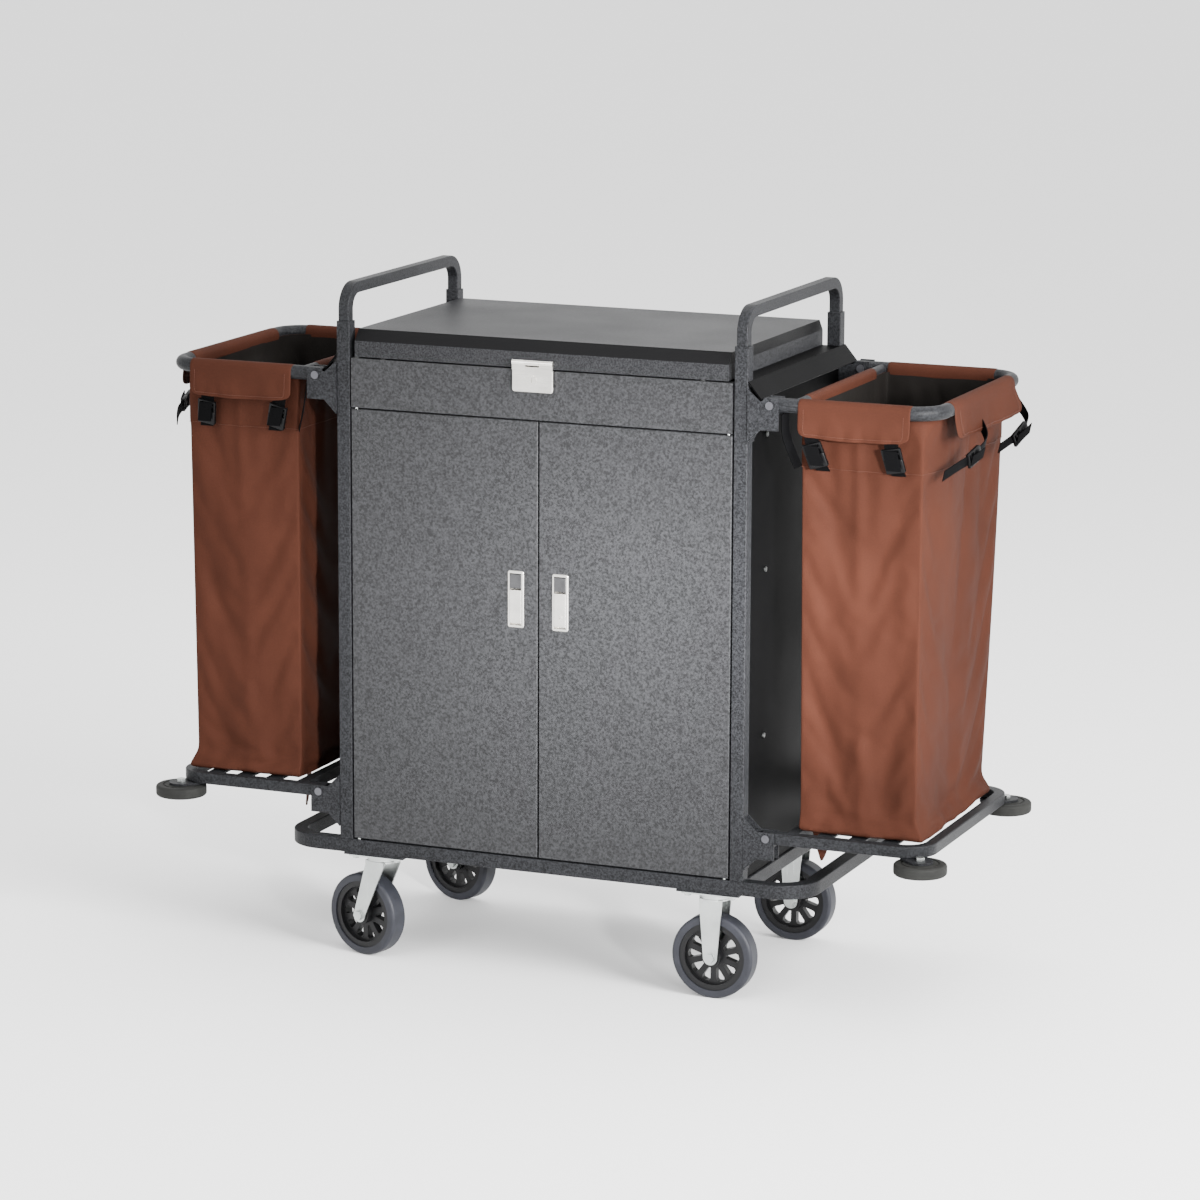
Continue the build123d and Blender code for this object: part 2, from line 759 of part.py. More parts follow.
def fork(x, y, turn, trail, crown_hole):
    """A pressed fork with its axle; trail is how far the axle stands behind the stem."""
    plane = wheel_plane(x, y, turn)
    shoulder = fork_leg_width / 2
    for start, thick in ((leg_inner, fork_leg), (-leg_inner, -fork_leg)):
        with BuildSketch(plane.offset(start)) as outline:
            with BuildLine():
                Polyline(
                    (-shoulder, crown_top),
                    (-shoulder, fork_top_z),
                    (trail - fork_foot_r, wheel_r),
                    (trail + fork_foot_r, wheel_r),
                    (shoulder, fork_top_z),
                    (shoulder, crown_top),
                    close=True,
                )
            make_face()
            with Locations((trail, wheel_r)):
                Circle(fork_foot_r)
                Circle(axle_r, mode=Mode.SUBTRACT)
        extrude(outline.sketch, amount=thick)
    with BuildSketch(Plane((x, y, crown_top), x_dir=plane.x_dir)) as outline:
        RectangleRounded(fork_leg_width, 2 * leg_outer, fork_corner)
        if crown_hole:
            Circle(axle_r + fit, mode=Mode.SUBTRACT)
    extrude(outline.sketch, amount=-fork_leg)
    with BuildSketch(Plane((x, y, crown_top), x_dir=plane.x_dir)) as outline:
        Circle(swivel_r)
        if crown_hole:
            Circle(axle_r + fit, mode=Mode.SUBTRACT)
    extrude(outline.sketch, amount=-fork_leg)
    if not crown_hole:
        with BuildSketch(Plane((x, y, crown_top))) as outline:
            Circle(swivel_r - fork_leg)
        extrude(outline.sketch, amount=2 * seat_gap)


def axle(x, y, turn, trail):
    """The wheel's bolt across the fork, with its head and nut outside the legs."""
    plane = wheel_plane(x, y, turn)
    with BuildSketch(plane.offset(-leg_outer)) as outline:
        with Locations((trail, wheel_r)):
            Circle(axle_r)
    extrude(outline.sketch, amount=2 * leg_outer)
    for start, thick in ((leg_outer, axle_nut), (-leg_outer, -axle_nut)):
        with BuildSketch(plane.offset(start)) as outline:
            with Locations((trail, wheel_r)):
                RegularPolygon(axle_nut_r, 6)
        extrude(outline.sketch, amount=thick)


def ring(plane, trail, outer, inner, width):
    with BuildSketch(plane.offset(-width / 2)) as outline:
        with Locations((trail, wheel_r)):
            Circle(outer)
            Circle(inner, mode=Mode.SUBTRACT)
    extrude(outline.sketch, amount=width)


casters = (
    ("front_left", -caster_x, -caster_y, trail_turn, caster_trail),
    ("rear_left", -caster_x, caster_y, trail_turn, caster_trail),
    ("front_right", caster_x, -caster_y, 180.0, 0.0),
    ("rear_right", caster_x, caster_y, 180.0, 0.0),
)
for word, x, y, turn, trail in casters:
    swivels = trail > 0
    with BuildPart() as fork_part:
        fork(x, y, turn, trail, swivels)
    with BuildPart() as axle_part:
        axle(x, y, turn, trail)
    save_group([fork_part, axle_part], f"{word}_fork")

    plane = wheel_plane(x, y, turn)
    with BuildPart() as hub:
        ring(plane, trail, hub_r, axle_r + fit, hub_width)
        ring(plane, trail, rim_r, rim_inner_r, rim_width)
        ring(plane, trail, rim_inner_r + bite, hub_r - bite, web_width)
        with BuildSketch(plane.offset(-web_width / 2)):
            with Locations((trail, wheel_r)):
                with PolarLocations(0, spokes):
                    Polygon(*window, align=None)
        extrude(amount=web_width, mode=Mode.SUBTRACT)
    save(hub, f"{word}_hub")

    with BuildPart() as tyre:
        ring(plane, trail, wheel_r, rim_r, wheel_width)
        tread_edges = tyre.edges().filter_by(GeomType.CIRCLE).filter_by(lambda e: e.radius > rim_r + bite)
        fillet(tread_edges, tyre_round)
    save(tyre, f"{word}_tyre")

# ================================================================ brackets and their pins
def ear_outline(head, top_edge, foot):
    """An ear's corners, as reach from the post and height from the pin; foot is at the post, then past it."""
    return [(0, head), *top_edge, (bracket_reach, foot[1]), (web_reach, foot[1]), (0, foot[0])]


upper_outer = ear_outline(upper_ear_head, upper_ear, (upper_ear_foot[0], upper_ear_foot[1]))
upper_inner = ear_outline(upper_ear_head, upper_ear, (upper_ear_foot[0], upper_ear_foot[2]))
lower_edge = ((web_reach, lower_ear_top[1]), (bracket_reach, lower_ear_top[1]))
lower_both = ear_outline(lower_ear_top[0], lower_edge, lower_ear_foot)


def bracket(side, end, outer_ear, inner_ear, pin_x, pin_z, arm_width):
    """A channel on the post's side with an ear each side of the arm."""
    middle = end * post_y
    inside = arm_width / 2 + ear_gap
    for way, points in ((end, outer_ear), (-end, inner_ear)):
        with BuildSketch(Plane.XZ.offset(-(middle + way * inside))) as outline:
            with BuildLine():
                Polyline(*[(side * (post_out + x), pin_z + z) for x, z in points], close=True)
            make_face()
            with Locations((side * pin_x, pin_z)):
                Circle(bracket_pin_r, mode=Mode.SUBTRACT)
        extrude(outline.sketch, amount=-way * ear)
    low = pin_z + outer_ear[-1][1]
    high = pin_z + outer_ear[1][1]
    box_between(
        (side * post_out, middle - inside, low), (side * (post_out + ear), middle + inside, high)
    )


with BuildPart() as upper_brackets:
    for side in both_sides:
        for end in both_sides:
            bracket(side, end, upper_outer, upper_inner, upper_pin_x, upper_pin_z, 2 * frame_r)
save(upper_brackets, "upper_brackets")

with BuildPart() as lower_brackets:
    for side in both_sides:
        for end in both_sides:
            bracket(side, end, lower_both, lower_both, lower_pin_x, lower_pin_z, deck_tube)
            lip, thick = rest_lip
            top = lower_pin_z - deck_tube / 2 - seat_gap
            reach = post_out + bracket_reach
            inside = deck_tube / 2 + ear_gap
            box_between(
                (side * (reach - lip), end * post_y - inside, top - thick),
                (side * reach, end * post_y + inside, top),
            )
save(lower_brackets, "lower_brackets")

with BuildPart() as bracket_pins:
    for side in both_sides:
        for end in both_sides:
            for pin_x, pin_z, arm in (
                (upper_pin_x, upper_pin_z, 2 * frame_r),
                (lower_pin_x, lower_pin_z, deck_tube),
            ):
                outside = arm / 2 + ear_gap + ear
                start = end * post_y - outside - pin_head
                rod((side * pin_x, start, pin_z), ALONG_Y, bracket_pin_r, 2 * (outside + pin_head))
                rod((side * pin_x, start, pin_z), ALONG_Y, pin_head_r, pin_head)
                rod((side * pin_x, start + 2 * outside + pin_head, pin_z), ALONG_Y, pin_head_r, pin_head)
save(bracket_pins, "bracket_pins")

# ================================================================ folding bag frames and platforms
for side, word in ((-1, "left"), (1, "right")):
    with BuildPart() as bag_frame:
        with BuildLine() as frame_path:
            FilletPolyline(
                (side * frame_tail_x, -post_y, upper_pin_z),
                (side * frame_end_x, -post_y, upper_pin_z),
                (side * frame_end_x, post_y, upper_pin_z),
                (side * frame_tail_x, post_y, upper_pin_z),
                radius=frame_bend,
            )
        with BuildSketch(Plane((side * frame_tail_x, -post_y, upper_pin_z), z_dir=(side, 0, 0))):
            Circle(frame_r)
        sweep(path=frame_path.line)
        rod((side * crossbar_x, -post_y, upper_pin_z), ALONG_Y, crossbar_r, 2 * post_y)
        with BuildSketch(Plane((side * frame_tail_x, -post_y, upper_pin_z), z_dir=(side, 0, 0))):
            Circle(frame_r - tube_wall)
        sweep(path=frame_path.line, mode=Mode.SUBTRACT)
        for end in both_sides:
            rod((side * upper_pin_x, end * post_y - frame_r, upper_pin_z), ALONG_Y,
                bracket_pin_r + fit, 2 * frame_r, Mode.SUBTRACT)
    save(bag_frame, f"{word}_bag_frame")

    lug_top = lower_pin_z - deck_tube / 2
    with BuildPart() as platform:
        with BuildLine() as deck_path:
            FilletPolyline(
                (side * deck_tail_x, -post_y, lower_pin_z),
                (side * deck_end_x, -post_y, lower_pin_z),
                (side * deck_end_x, post_y, lower_pin_z),
                (side * deck_tail_x, post_y, lower_pin_z),
                radius=deck_bend,
            )
        deck_start = Plane((side * deck_tail_x, -post_y, lower_pin_z), x_dir=(0, 1, 0), z_dir=(side, 0, 0))
        with BuildSketch(deck_start):
            RectangleRounded(deck_tube, deck_tube, tube_corner)
        sweep(path=deck_path.line)
        box_between(
            (side * (deck_bar_x - deck_tube / 2), -post_y, lower_pin_z - deck_tube / 2),
            (side * (deck_bar_x + deck_tube / 2), post_y, lower_pin_z + deck_tube / 2),
        )
        with BuildSketch(deck_start):
            Rectangle(deck_tube - 2 * tube_wall, deck_tube - 2 * tube_wall)
        sweep(path=deck_path.line, mode=Mode.SUBTRACT)
        for number in range(1, slat_count + 1):
            middle = deck_bar_x + number * slat_pitch
            slat_y = post_y - deck_tube / 2
            deck_top = lower_pin_z + deck_tube / 2
            box_between(
                (side * (middle - slat_width / 2), -slat_y, deck_top - slat_thick),
                (side * (middle + slat_width / 2), slat_y, deck_top),
            )
        for end in both_sides:
            with BuildSketch(Plane.XY.offset(lug_top)):
                with Locations((side * disc_x, end * disc_y)):
                    Circle(lug_r)
                with Locations((side * (deck_end_x - lug_r), end * (post_y - lug_r / 2))):
                    Circle(lug_r)
                make_hull()
                with Locations((side * disc_x, end * disc_y)):
                    Circle(disc_bolt_r, mode=Mode.SUBTRACT)
            extrude(amount=-lug_thick)
            rod((side * lower_pin_x, end * post_y - deck_tube / 2, lower_pin_z), ALONG_Y,
                bracket_pin_r + fit, deck_tube, Mode.SUBTRACT)
    save(platform, f"{word}_platform")

    disc_top = lug_top - lug_thick - seat_gap
    with BuildPart() as disc_bolts:
        for end in both_sides:
            nut_top = disc_top - disc_thick - seat_gap
            middle = (side * disc_x, end * disc_y)
            with BuildSketch(Plane.XY.offset(lug_top)):
                with Locations(middle):
                    RegularPolygon(disc_bolt_head_r, 6)
            extrude(amount=disc_bolt_head)
            shank = lug_top - nut_top + disc_bolt_head
            rod((*middle, nut_top - disc_bolt_head), ALONG_Z, disc_bolt_r, shank)
            with BuildSketch(Plane.XY.offset(nut_top)):
                with Locations(middle):
                    RegularPolygon(disc_bolt_head_r, 6)
            extrude(amount=-disc_bolt_head)
    save(disc_bolts, f"{word}_disc_bolts")

    for end, place in ((-1, "front"), (1, "rear")):
        with BuildPart() as disc:
            middle = (side * disc_x, end * disc_y, disc_top - disc_thick)
            rod(middle, ALONG_Z, disc_r, disc_thick)
            fillet(disc.edges().filter_by(GeomType.CIRCLE), disc_edge)
            rod(middle, ALONG_Z, disc_bolt_r + fit, disc_thick, Mode.SUBTRACT)
            with BuildSketch(Plane.XY.offset(disc_top)):
                with Locations(middle[:2]):
                    for rib in disc_ribs:
                        Circle(rib + rib_groove)
                        Circle(rib - rib_groove, mode=Mode.SUBTRACT)
            extrude(amount=-rib_groove, mode=Mode.SUBTRACT)
        save(disc, f"{place}_{word}_disc")

# ================================================================ bags
bag_y = post_y - frame_r - bag_clear
bag_out = frame_end_x - frame_r - bag_clear
bag_in = crossbar_x + crossbar_r + bag_clear
bag_floor = lower_pin_z + deck_tube / 2 + seat_gap
bag_rim = upper_pin_z + frame_r + flap_clear
flap_low = bag_rim + flap_thick - flap_drop
for side, word in ((-1, "left"), (1, "right")):
    with BuildPart() as bag:
        for wall, low, mode in ((0, bag_floor, Mode.ADD), (bag_wall, bag_floor + bag_wall, Mode.SUBTRACT)):
            middle = side * (bag_in + bag_out) / 2
            with BuildSketch(Plane.XY.offset(low)) as plan:
                with Locations((middle, 0)):
                    Rectangle(bag_out - bag_in - 2 * wall, 2 * (bag_y - wall))
                by_reach = plan.vertices().sort_by(lambda corner: side * corner.X)
                fillet(by_reach[2:], bag_corner - wall)
                by_reach = plan.vertices().sort_by(lambda corner: side * corner.X)
                fillet(by_reach[:2], bag_inner_corner - wall)
            extrude(amount=bag_rim + flap_thick - low, mode=mode)
        over_y = post_y + frame_r + flap_clear
        for end in both_sides:
            box_between(
                (side * (bag_in + bag_inner_corner), end * (bag_y - bag_wall), bag_rim),
                (side * (bag_out - bag_corner), end * (over_y + flap_thick), bag_rim + flap_thick),
            )
            box_between(
                (side * (bag_in + bag_inner_corner), end * over_y, flap_low),
                (side * (bag_out - bag_corner), end * (over_y + flap_thick), bag_rim + flap_thick),
            )
        over_x = frame_end_x + frame_r + flap_clear
        flap_half = bag_y - bag_corner
        box_between(
            (side * (bag_out - bag_wall), -flap_half, bag_rim),
            (side * (over_x + flap_thick), flap_half, bag_rim + flap_thick),
        )
        box_between(
            (side * over_x, -flap_half, flap_low),
            (side * (over_x + flap_thick), flap_half, bag_rim + flap_thick),
        )
        over_in = crossbar_x - crossbar_r - flap_clear
        box_between(
            (side * (bag_in + bag_wall), -flap_half, bag_rim),
            (side * (over_in - flap_thick), flap_half, bag_rim + flap_thick),
        )
        box_between(
            (side * over_in, -flap_half, flap_low),
            (side * (over_in - flap_thick), flap_half, bag_rim + flap_thick),
        )
    save(bag, f"{word}_bag")
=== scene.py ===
import json
import math

import bpy
from bpy.props import FloatProperty, FloatVectorProperty, IntProperty, PointerProperty
from mathutils import Matrix, Vector, noise


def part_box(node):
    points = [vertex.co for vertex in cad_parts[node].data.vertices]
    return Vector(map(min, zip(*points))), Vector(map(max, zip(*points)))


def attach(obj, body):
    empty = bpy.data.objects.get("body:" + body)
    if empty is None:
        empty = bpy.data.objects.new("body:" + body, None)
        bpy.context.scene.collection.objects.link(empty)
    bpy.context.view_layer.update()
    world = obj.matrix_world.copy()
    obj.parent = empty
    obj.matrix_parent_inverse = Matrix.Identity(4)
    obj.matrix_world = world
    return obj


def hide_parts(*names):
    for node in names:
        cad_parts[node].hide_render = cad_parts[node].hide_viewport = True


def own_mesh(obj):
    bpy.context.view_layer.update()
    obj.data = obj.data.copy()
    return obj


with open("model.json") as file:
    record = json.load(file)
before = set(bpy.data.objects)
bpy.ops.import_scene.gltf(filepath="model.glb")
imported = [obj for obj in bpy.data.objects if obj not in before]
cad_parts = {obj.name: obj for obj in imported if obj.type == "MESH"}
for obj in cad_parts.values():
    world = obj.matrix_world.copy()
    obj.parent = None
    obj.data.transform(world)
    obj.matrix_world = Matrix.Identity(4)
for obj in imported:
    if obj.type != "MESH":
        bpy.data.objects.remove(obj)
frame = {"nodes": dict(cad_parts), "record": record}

bl_info = {
    "name": "Housekeeping Cart",
    "version": (1, 0, 0),
    "blender": (4, 5, 0),
    "location": "3D View > Sidebar > Cart",
    "description": "Cloth bags, trim and finishes round the frame of a housekeeping cart",
    "category": "Object",
}

SIDES = (("left", -1), ("right", 1))
ENDS = (("front", -1), ("rear", 1))
UP = Vector((0, 0, 1))

# ---- places read from the frame
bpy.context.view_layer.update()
tube_low, tube_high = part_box("right_bag_frame")
deck_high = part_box("right_platform")[1]
bag_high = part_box("right_bag")[1]
TUBE_R = 0.0125
TUBE_BEND = 0.050  # radius of its outer corners, on the centre line
TUBE_X = tube_high.x - TUBE_R  # centre of the bag frame's outer run
TUBE_Y = tube_high.y - TUBE_R  # centre of its two arms
TUBE_Z = (tube_low.z + tube_high.z) / 2
BAR_X = 0.464  # crossbar at the cabinet's end of the bag
BAR_R = 0.009
LID_LIP_Z = 1.1225  # above it the lid's sloping front is darker


def colour(default, name, text):
    """A property that holds a colour."""
    return FloatVectorProperty(name=name, description=text, default=default, size=3,
                               subtype="COLOR", min=0, max=1)


def length(default, name, text):
    """A property that holds a size in metres."""
    return FloatProperty(name=name, description=text, default=default, unit="LENGTH", min=0)


class CartFinish(bpy.types.PropertyGroup):
    frame_paint: colour((0.0095, 0.0098, 0.0108), "Frame paint", "Textured coat of the tubes")
    panel_paint: colour((0.0112, 0.0114, 0.0123), "Panel paint", "Textured coat of doors and lid")
    black_paint: colour((0.0008, 0.0008, 0.0009), "Black paint", "Satin coat of sides and shelves")
    fabric: colour((0.034, 0.0118, 0.0074), "Fabric", "Woven outer cloth of the bags")
    lining: colour((0.0075, 0.0066, 0.0060), "Lining", "Coated inner face of the bags")
    webbing: colour((0.0018, 0.0018, 0.002), "Webbing", "Straps and buckles")
    rubber: colour((0.0145, 0.0147, 0.0138), "Disc rubber", "Bumper discs")
    tyre: colour((0.017, 0.0178, 0.023), "Tyre rubber", "Caster treads")
    grain: length(0.0046, "Grain", "Size of the coat's grain")
    thread_pitch: length(0.0011, "Thread pitch", "Distance between two threads of the cloth")


class CartBags(bpy.types.PropertyGroup):
    cloth: length(0.0012, "Cloth", "Thickness of the bag's wall")
    clear: length(0.0012, "Clearance", "Between cloth and tube")
    flap_drop: length(0.050, "Flap drop", "How far a flap hangs below its tube's centre")
    flap_corner: length(0.016, "Flap corner", "Radius of a flap's lower corners")
    flap_cloth: length(0.0022, "Flap cloth", "Thickness of a doubled flap")
    taper: length(0.009, "Taper", "How much narrower the bag is at its base")
    lean: length(0.004, "Lean", "How far the front outer edge leans in at the base")
    rear_taper: length(0.045, "Rear taper", "How far the rear wall leans in at the base")
    edge_radius: length(0.006, "Edge radius", "Radius of the bag's upright edges")
    slump: length(0.016, "Slump", "How far the base spreads over the deck")
    lap: length(0.0014, "Lap", "How far the top band stands out over the seam")
    levels: IntProperty(name="Levels", description="Rows of the walls' mesh", default=66, min=8)
    seam_height: length(0.9525, "Seam height", "Height of the seam below the flaps")
    slack: FloatProperty(name="Slack", description="Share of spare cloth", default=0.010, min=0)
    settle_frames: IntProperty(name="Frames", description="Steps of the cloth", default=26, min=1)
    strap: length(0.025, "Strap", "Width of the webbing")
    stitch: length(0.0042, "Stitch", "Distance from one stitch to the next")


class CartStage(bpy.types.PropertyGroup):
    floor_colour: colour((0.93, 0.93, 0.93), "Floor", "Pale floor")
    sky: FloatProperty(name="Sky", description="Strength of the even light all round", default=1.9)
    key_power: FloatProperty(name="Key", description="Power of the main light", default=950)
    fill_power: FloatProperty(name="Fill", description="Power of the other lights", default=130)
    pool_power: FloatProperty(name="Pool", description="Power of the spot on the doors", default=14000)


# ================================================================ making and keeping pieces
def deselect():
    if bpy.context.object and bpy.context.object.mode != "OBJECT":
        bpy.ops.object.mode_set(mode="OBJECT")
    bpy.ops.object.select_all(action="DESELECT")


def activate(piece):
    deselect()
    piece.select_set(True)
    bpy.context.view_layer.objects.active = piece


def settle_place(piece):
    """Moves the object's place, turn and scale into its mesh."""
    activate(piece)
    bpy.ops.object.transform_apply(location=True, rotation=True, scale=True)


def keep(piece, name, body, slot, *materials):
    """Names a finished piece, gives it its materials and lets it ride on a body."""
    settle_place(piece)
    piece.name = name
    piece.data.name = name
    if materials:
        piece.data.materials.clear()
    for material in materials:
        piece.data.materials.append(bpy.data.materials[material])
    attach(piece, body)
    return piece


def smooth(piece, angle=35):
    """Shades a piece smooth except at edges sharper than the angle."""
    activate(piece)
    bpy.ops.object.shade_smooth_by_angle(angle=math.radians(angle))


def round_edges(piece, width, segments):
    """Rounds every sharp edge of a piece."""
    activate(piece)
    modifier = piece.modifiers.new("Round", "BEVEL")
    modifier.width = width
    modifier.segments = segments
    modifier.limit_method = "ANGLE"
    bpy.ops.object.modifier_apply(modifier=modifier.name)


def add_box(low, high, radius, segments):
    """A block between two opposite corners, with rounded edges."""
    deselect()
    middle = [(a + b) / 2 for a, b in zip(low, high)]
    size = [abs(b - a) for a, b in zip(low, high)]
    bpy.ops.mesh.primitive_cube_add(size=1, location=middle, scale=size)
    piece = bpy.context.object
    settle_place(piece)
    round_edges(piece, radius, segments)
    smooth(piece)
    return piece


def join(pieces):
    """Makes one piece of several."""
    deselect()
    for piece in pieces:
        piece.select_set(True)
    bpy.context.view_layer.objects.active = pieces[0]
    bpy.ops.object.join()
    return bpy.context.object


def steps(points):
    """Distance along a run of points, from nought at the first."""
    total, marks = 0.0, [0.0]
    for a, b in zip(points, points[1:]):
        total += (Vector(b) - Vector(a)).length
        marks.append(total)
    return marks


def add_cloth(name, rows, closed=False):
    """A sheet of quads through rows of points, with cloth coordinates in metres.

    A closed sheet joins the ends of its rows and has one face inside its first row.
    """
    count = len(rows[0])
    last = count if closed else count - 1
    faces = []
    for start in range(0, (len(rows) - 1) * count, count):
        for column in range(last):
            after = (column + 1) % count
            faces.append((start + column, start + after,
                          start + count + after, start + count + column))
    if closed:
        faces.append(tuple(reversed(range(count))))
    mesh = bpy.data.meshes.new(name)
    mesh.from_pydata([tuple(p) for row in rows for p in row], [], faces)
    middle = rows[len(rows) // 2]
    across = steps(list(middle) + [middle[0]] if closed else middle)
    along = steps([row[0] for row in rows])
    layer = mesh.uv_layers.new(name="cloth")
    for number, face in enumerate(mesh.polygons):
        r, c = divmod(number, last)
        if len(face.vertices) != 4:
            continue
        places = ((c, r), (c + 1, r), (c + 1, r + 1), (c, r + 1))
        for loop, (u, v) in zip(face.loop_indices, places):
            layer.data[loop].uv = (across[u], along[v])
    mesh.update()
    piece = bpy.data.objects.new(name, mesh)
    bpy.context.collection.objects.link(piece)
    return piece


def face_side(piece, side):
    """Turns a piece that was made for the right end to the left one."""
    if side < 0:
        for vertex in piece.data.vertices:
            vertex.co.x = -vertex.co.x
        piece.data.flip_normals()
    return piece


def thicken(piece, thickness, offset, inside=0, rounded=0):
    """Gives cloth its thickness; inside is the step to the other face's material."""
    activate(piece)
    modifier = piece.modifiers.new("Wall", "SOLIDIFY")
    modifier.thickness = thickness
    modifier.offset = offset
    modifier.material_offset = inside
    modifier.use_even_offset = False
    bpy.ops.object.modifier_apply(modifier=modifier.name)
    if rounded:
        modifier = piece.modifiers.new("Soft", "SUBSURF")
        modifier.levels = rounded
        modifier.render_levels = rounded
        bpy.ops.object.modifier_apply(modifier=modifier.name)
    smooth(piece, 60)


def ease(value):
    """A smooth step from 0 to 1 as the value goes from 0 to 1."""
    value = min(max(value, 0.0), 1.0)
    return value * value * (3 - 2 * value)


def ripple(x, y, z, seed=0.0):
    """A smooth wandering value from -1 to 1."""
    return noise.noise(Vector((x, y, z + 17.3 * seed)))


# ================================================================ finishes
def new_finish(name, base, roughness, metallic=0.0, **sockets):
    """A material and its shader, with the numbers that are the same all over it."""
    plain = bpy.data.materials.get(name)
    if plain:
        plain.name = name + "_plain"
    material = bpy.data.materials.new(name)
    if material.name != name:
        raise RuntimeError(f"the name {name} is taken")
    material.use_nodes = True
    tree = material.node_tree
    shader = tree.nodes["Principled BSDF"]
    shader.inputs["Base Color"].default_value = (*base, 1)
    shader.inputs["Roughness"].default_value = roughness
    shader.inputs["Metallic"].default_value = metallic
    for socket, value in sockets.items():
        shader.inputs[socket.replace("_", " ")].default_value = value
    return material, tree, shader


def add_node(tree, kind, links=(), **settings):
    """A shader node; links are pairs of an input's name or number and a socket or value."""
    made = tree.nodes.new(kind)
    for setting, value in settings.items():
        setattr(made, setting, value)
    for socket, value in links:
        if isinstance(value, bpy.types.NodeSocket):
            tree.links.new(value, made.inputs[socket])
        else:
            made.inputs[socket].default_value = value
    return made


def noise_of(tree, place, scale, detail=2.0, rough=0.5):
    """A cloudy value over a place."""
    made = add_node(tree, "ShaderNodeTexNoise",
                    [("Vector", place), ("Scale", scale), ("Detail", detail), ("Roughness", rough)])
    return made.outputs["Fac"]


def spread(tree, value, low, high, to_low=0.0, to_high=1.0):
    """A value stretched from one range to another."""
    made = add_node(tree, "ShaderNodeMapRange",
                    [("Value", value), ("From Min", low), ("From Max", high),
                     ("To Min", to_low), ("To Max", to_high)])
    return made.outputs["Result"]


def maths(tree, operation, a, b):
    made = add_node(tree, "ShaderNodeMath", [(0, a), (1, b)], operation=operation)
    return made.outputs[0]


def between(tree, share, dark, light):
    """A colour from dark to light by a share; each is a colour or a colour socket."""
    made = add_node(tree, "ShaderNodeMix", [("Factor", share)], data_type="RGBA")
    for number, tint in ((6, dark), (7, light)):
        if isinstance(tint, bpy.types.NodeSocket):
            tree.links.new(tint, made.inputs[number])
        else:
            made.inputs[number].default_value = (*tint, 1)
    return made.outputs[2]


def add_up(tree, a, share_a, b, share_b):
    """The sum of two values, each by its share."""
    return maths(tree, "ADD", maths(tree, "MULTIPLY", a, share_a),
                 maths(tree, "MULTIPLY", b, share_b))


def shade(tone, share):
    """A colour made darker or lighter."""
    return tuple(min(1.0, part * share) for part in tone)


def raise_by(tree, shader, height, strength, distance):
    """Relief on a shader from a height."""
    made = add_node(tree, "ShaderNodeBump",
                    [("Height", height), ("Strength", strength), ("Distance", distance)])
    tree.links.new(made.outputs["Normal"], shader.inputs["Normal"])


def own_place(tree, kind="Object"):
    return add_node(tree, "ShaderNodeTexCoord").outputs[kind]


def powder_coat(name, base, grain, roughness, height=0.55, shine=0.22, dark_band=None):
    """A baked coat with a hammered grain; a dark band covers sloping faces above a height."""
    material, tree, shader = new_finish(name, base, roughness, Specular_IOR_Level=shine)
    place = own_place(tree)
    coarse = noise_of(tree, place, 1.2 / grain, 2.0, 0.55)
    fine = noise_of(tree, place, 3.4 / grain, 2.0, 0.6)
    wide = noise_of(tree, place, 4.0, 2.0)
    grains = add_up(tree, coarse, 0.6, fine, 0.4)
    tone = between(tree, spread(tree, grains, 0.40, 0.60), shade(base, 0.45), shade(base, 1.9))
    if dark_band is not None:
        height_of = add_node(tree, "ShaderNodeSeparateXYZ", [("Vector", place)])
        slope_of = add_node(tree, "ShaderNodeSeparateXYZ", [("Vector", own_place(tree, "Normal"))])
        above = maths(tree, "GREATER_THAN", height_of.outputs["Z"], dark_band)
        sloping = maths(tree, "LESS_THAN", slope_of.outputs["Z"], 0.97)
        tone = between(tree, maths(tree, "MULTIPLY", above, sloping), tone, shade(base, 0.22))
    tree.links.new(tone, shader.inputs["Base Color"])
    tree.links.new(spread(tree, wide, 0.3, 0.7, roughness - 0.04, roughness + 0.05),
                   shader.inputs["Roughness"])
    raise_by(tree, shader, grains, height, grain * 0.22)
    return material


def plated(name, base, roughness, drawn, scale, height):
    """Bare or plated metal with a faint drawn grain along one axis."""
    material, tree, shader = new_finish(name, base, roughness, 1.0)
    place = add_node(tree, "ShaderNodeMapping", [("Vector", own_place(tree)), ("Scale", drawn)])
    grain = noise_of(tree, place.outputs["Vector"], scale, 4.0, 0.6)
    cloud = noise_of(tree, own_place(tree), 24.0, 3.0)
    tone = between(tree, spread(tree, cloud, 0.3, 0.7), shade(base, 0.86), shade(base, 1.08))
    tree.links.new(tone, shader.inputs["Base Color"])
    tree.links.new(spread(tree, grain, 0.25, 0.75, roughness - 0.06, roughness + 0.10),
                   shader.inputs["Roughness"])
    raise_by(tree, shader, grain, height, 0.0003)
    return material


def rubbery(name, base, roughness, scale=900.0, shine=0.25):
    """Rubber or plastic with a fine moulded skin and a little dust."""
    material, tree, shader = new_finish(name, base, roughness, Specular_IOR_Level=shine)
    place = own_place(tree)
    skin = noise_of(tree, place, scale, 3.0)
    dust = noise_of(tree, place, 38.0, 4.0, 0.65)
    tone = between(tree, spread(tree, dust, 0.35, 0.75), shade(base, 0.82), shade(base, 1.35))
    tree.links.new(tone, shader.inputs["Base Color"])
    tree.links.new(spread(tree, dust, 0.3, 0.7, roughness - 0.06, roughness + 0.08),
                   shader.inputs["Roughness"])
    raise_by(tree, shader, skin, 0.25, 0.0003)
    return material


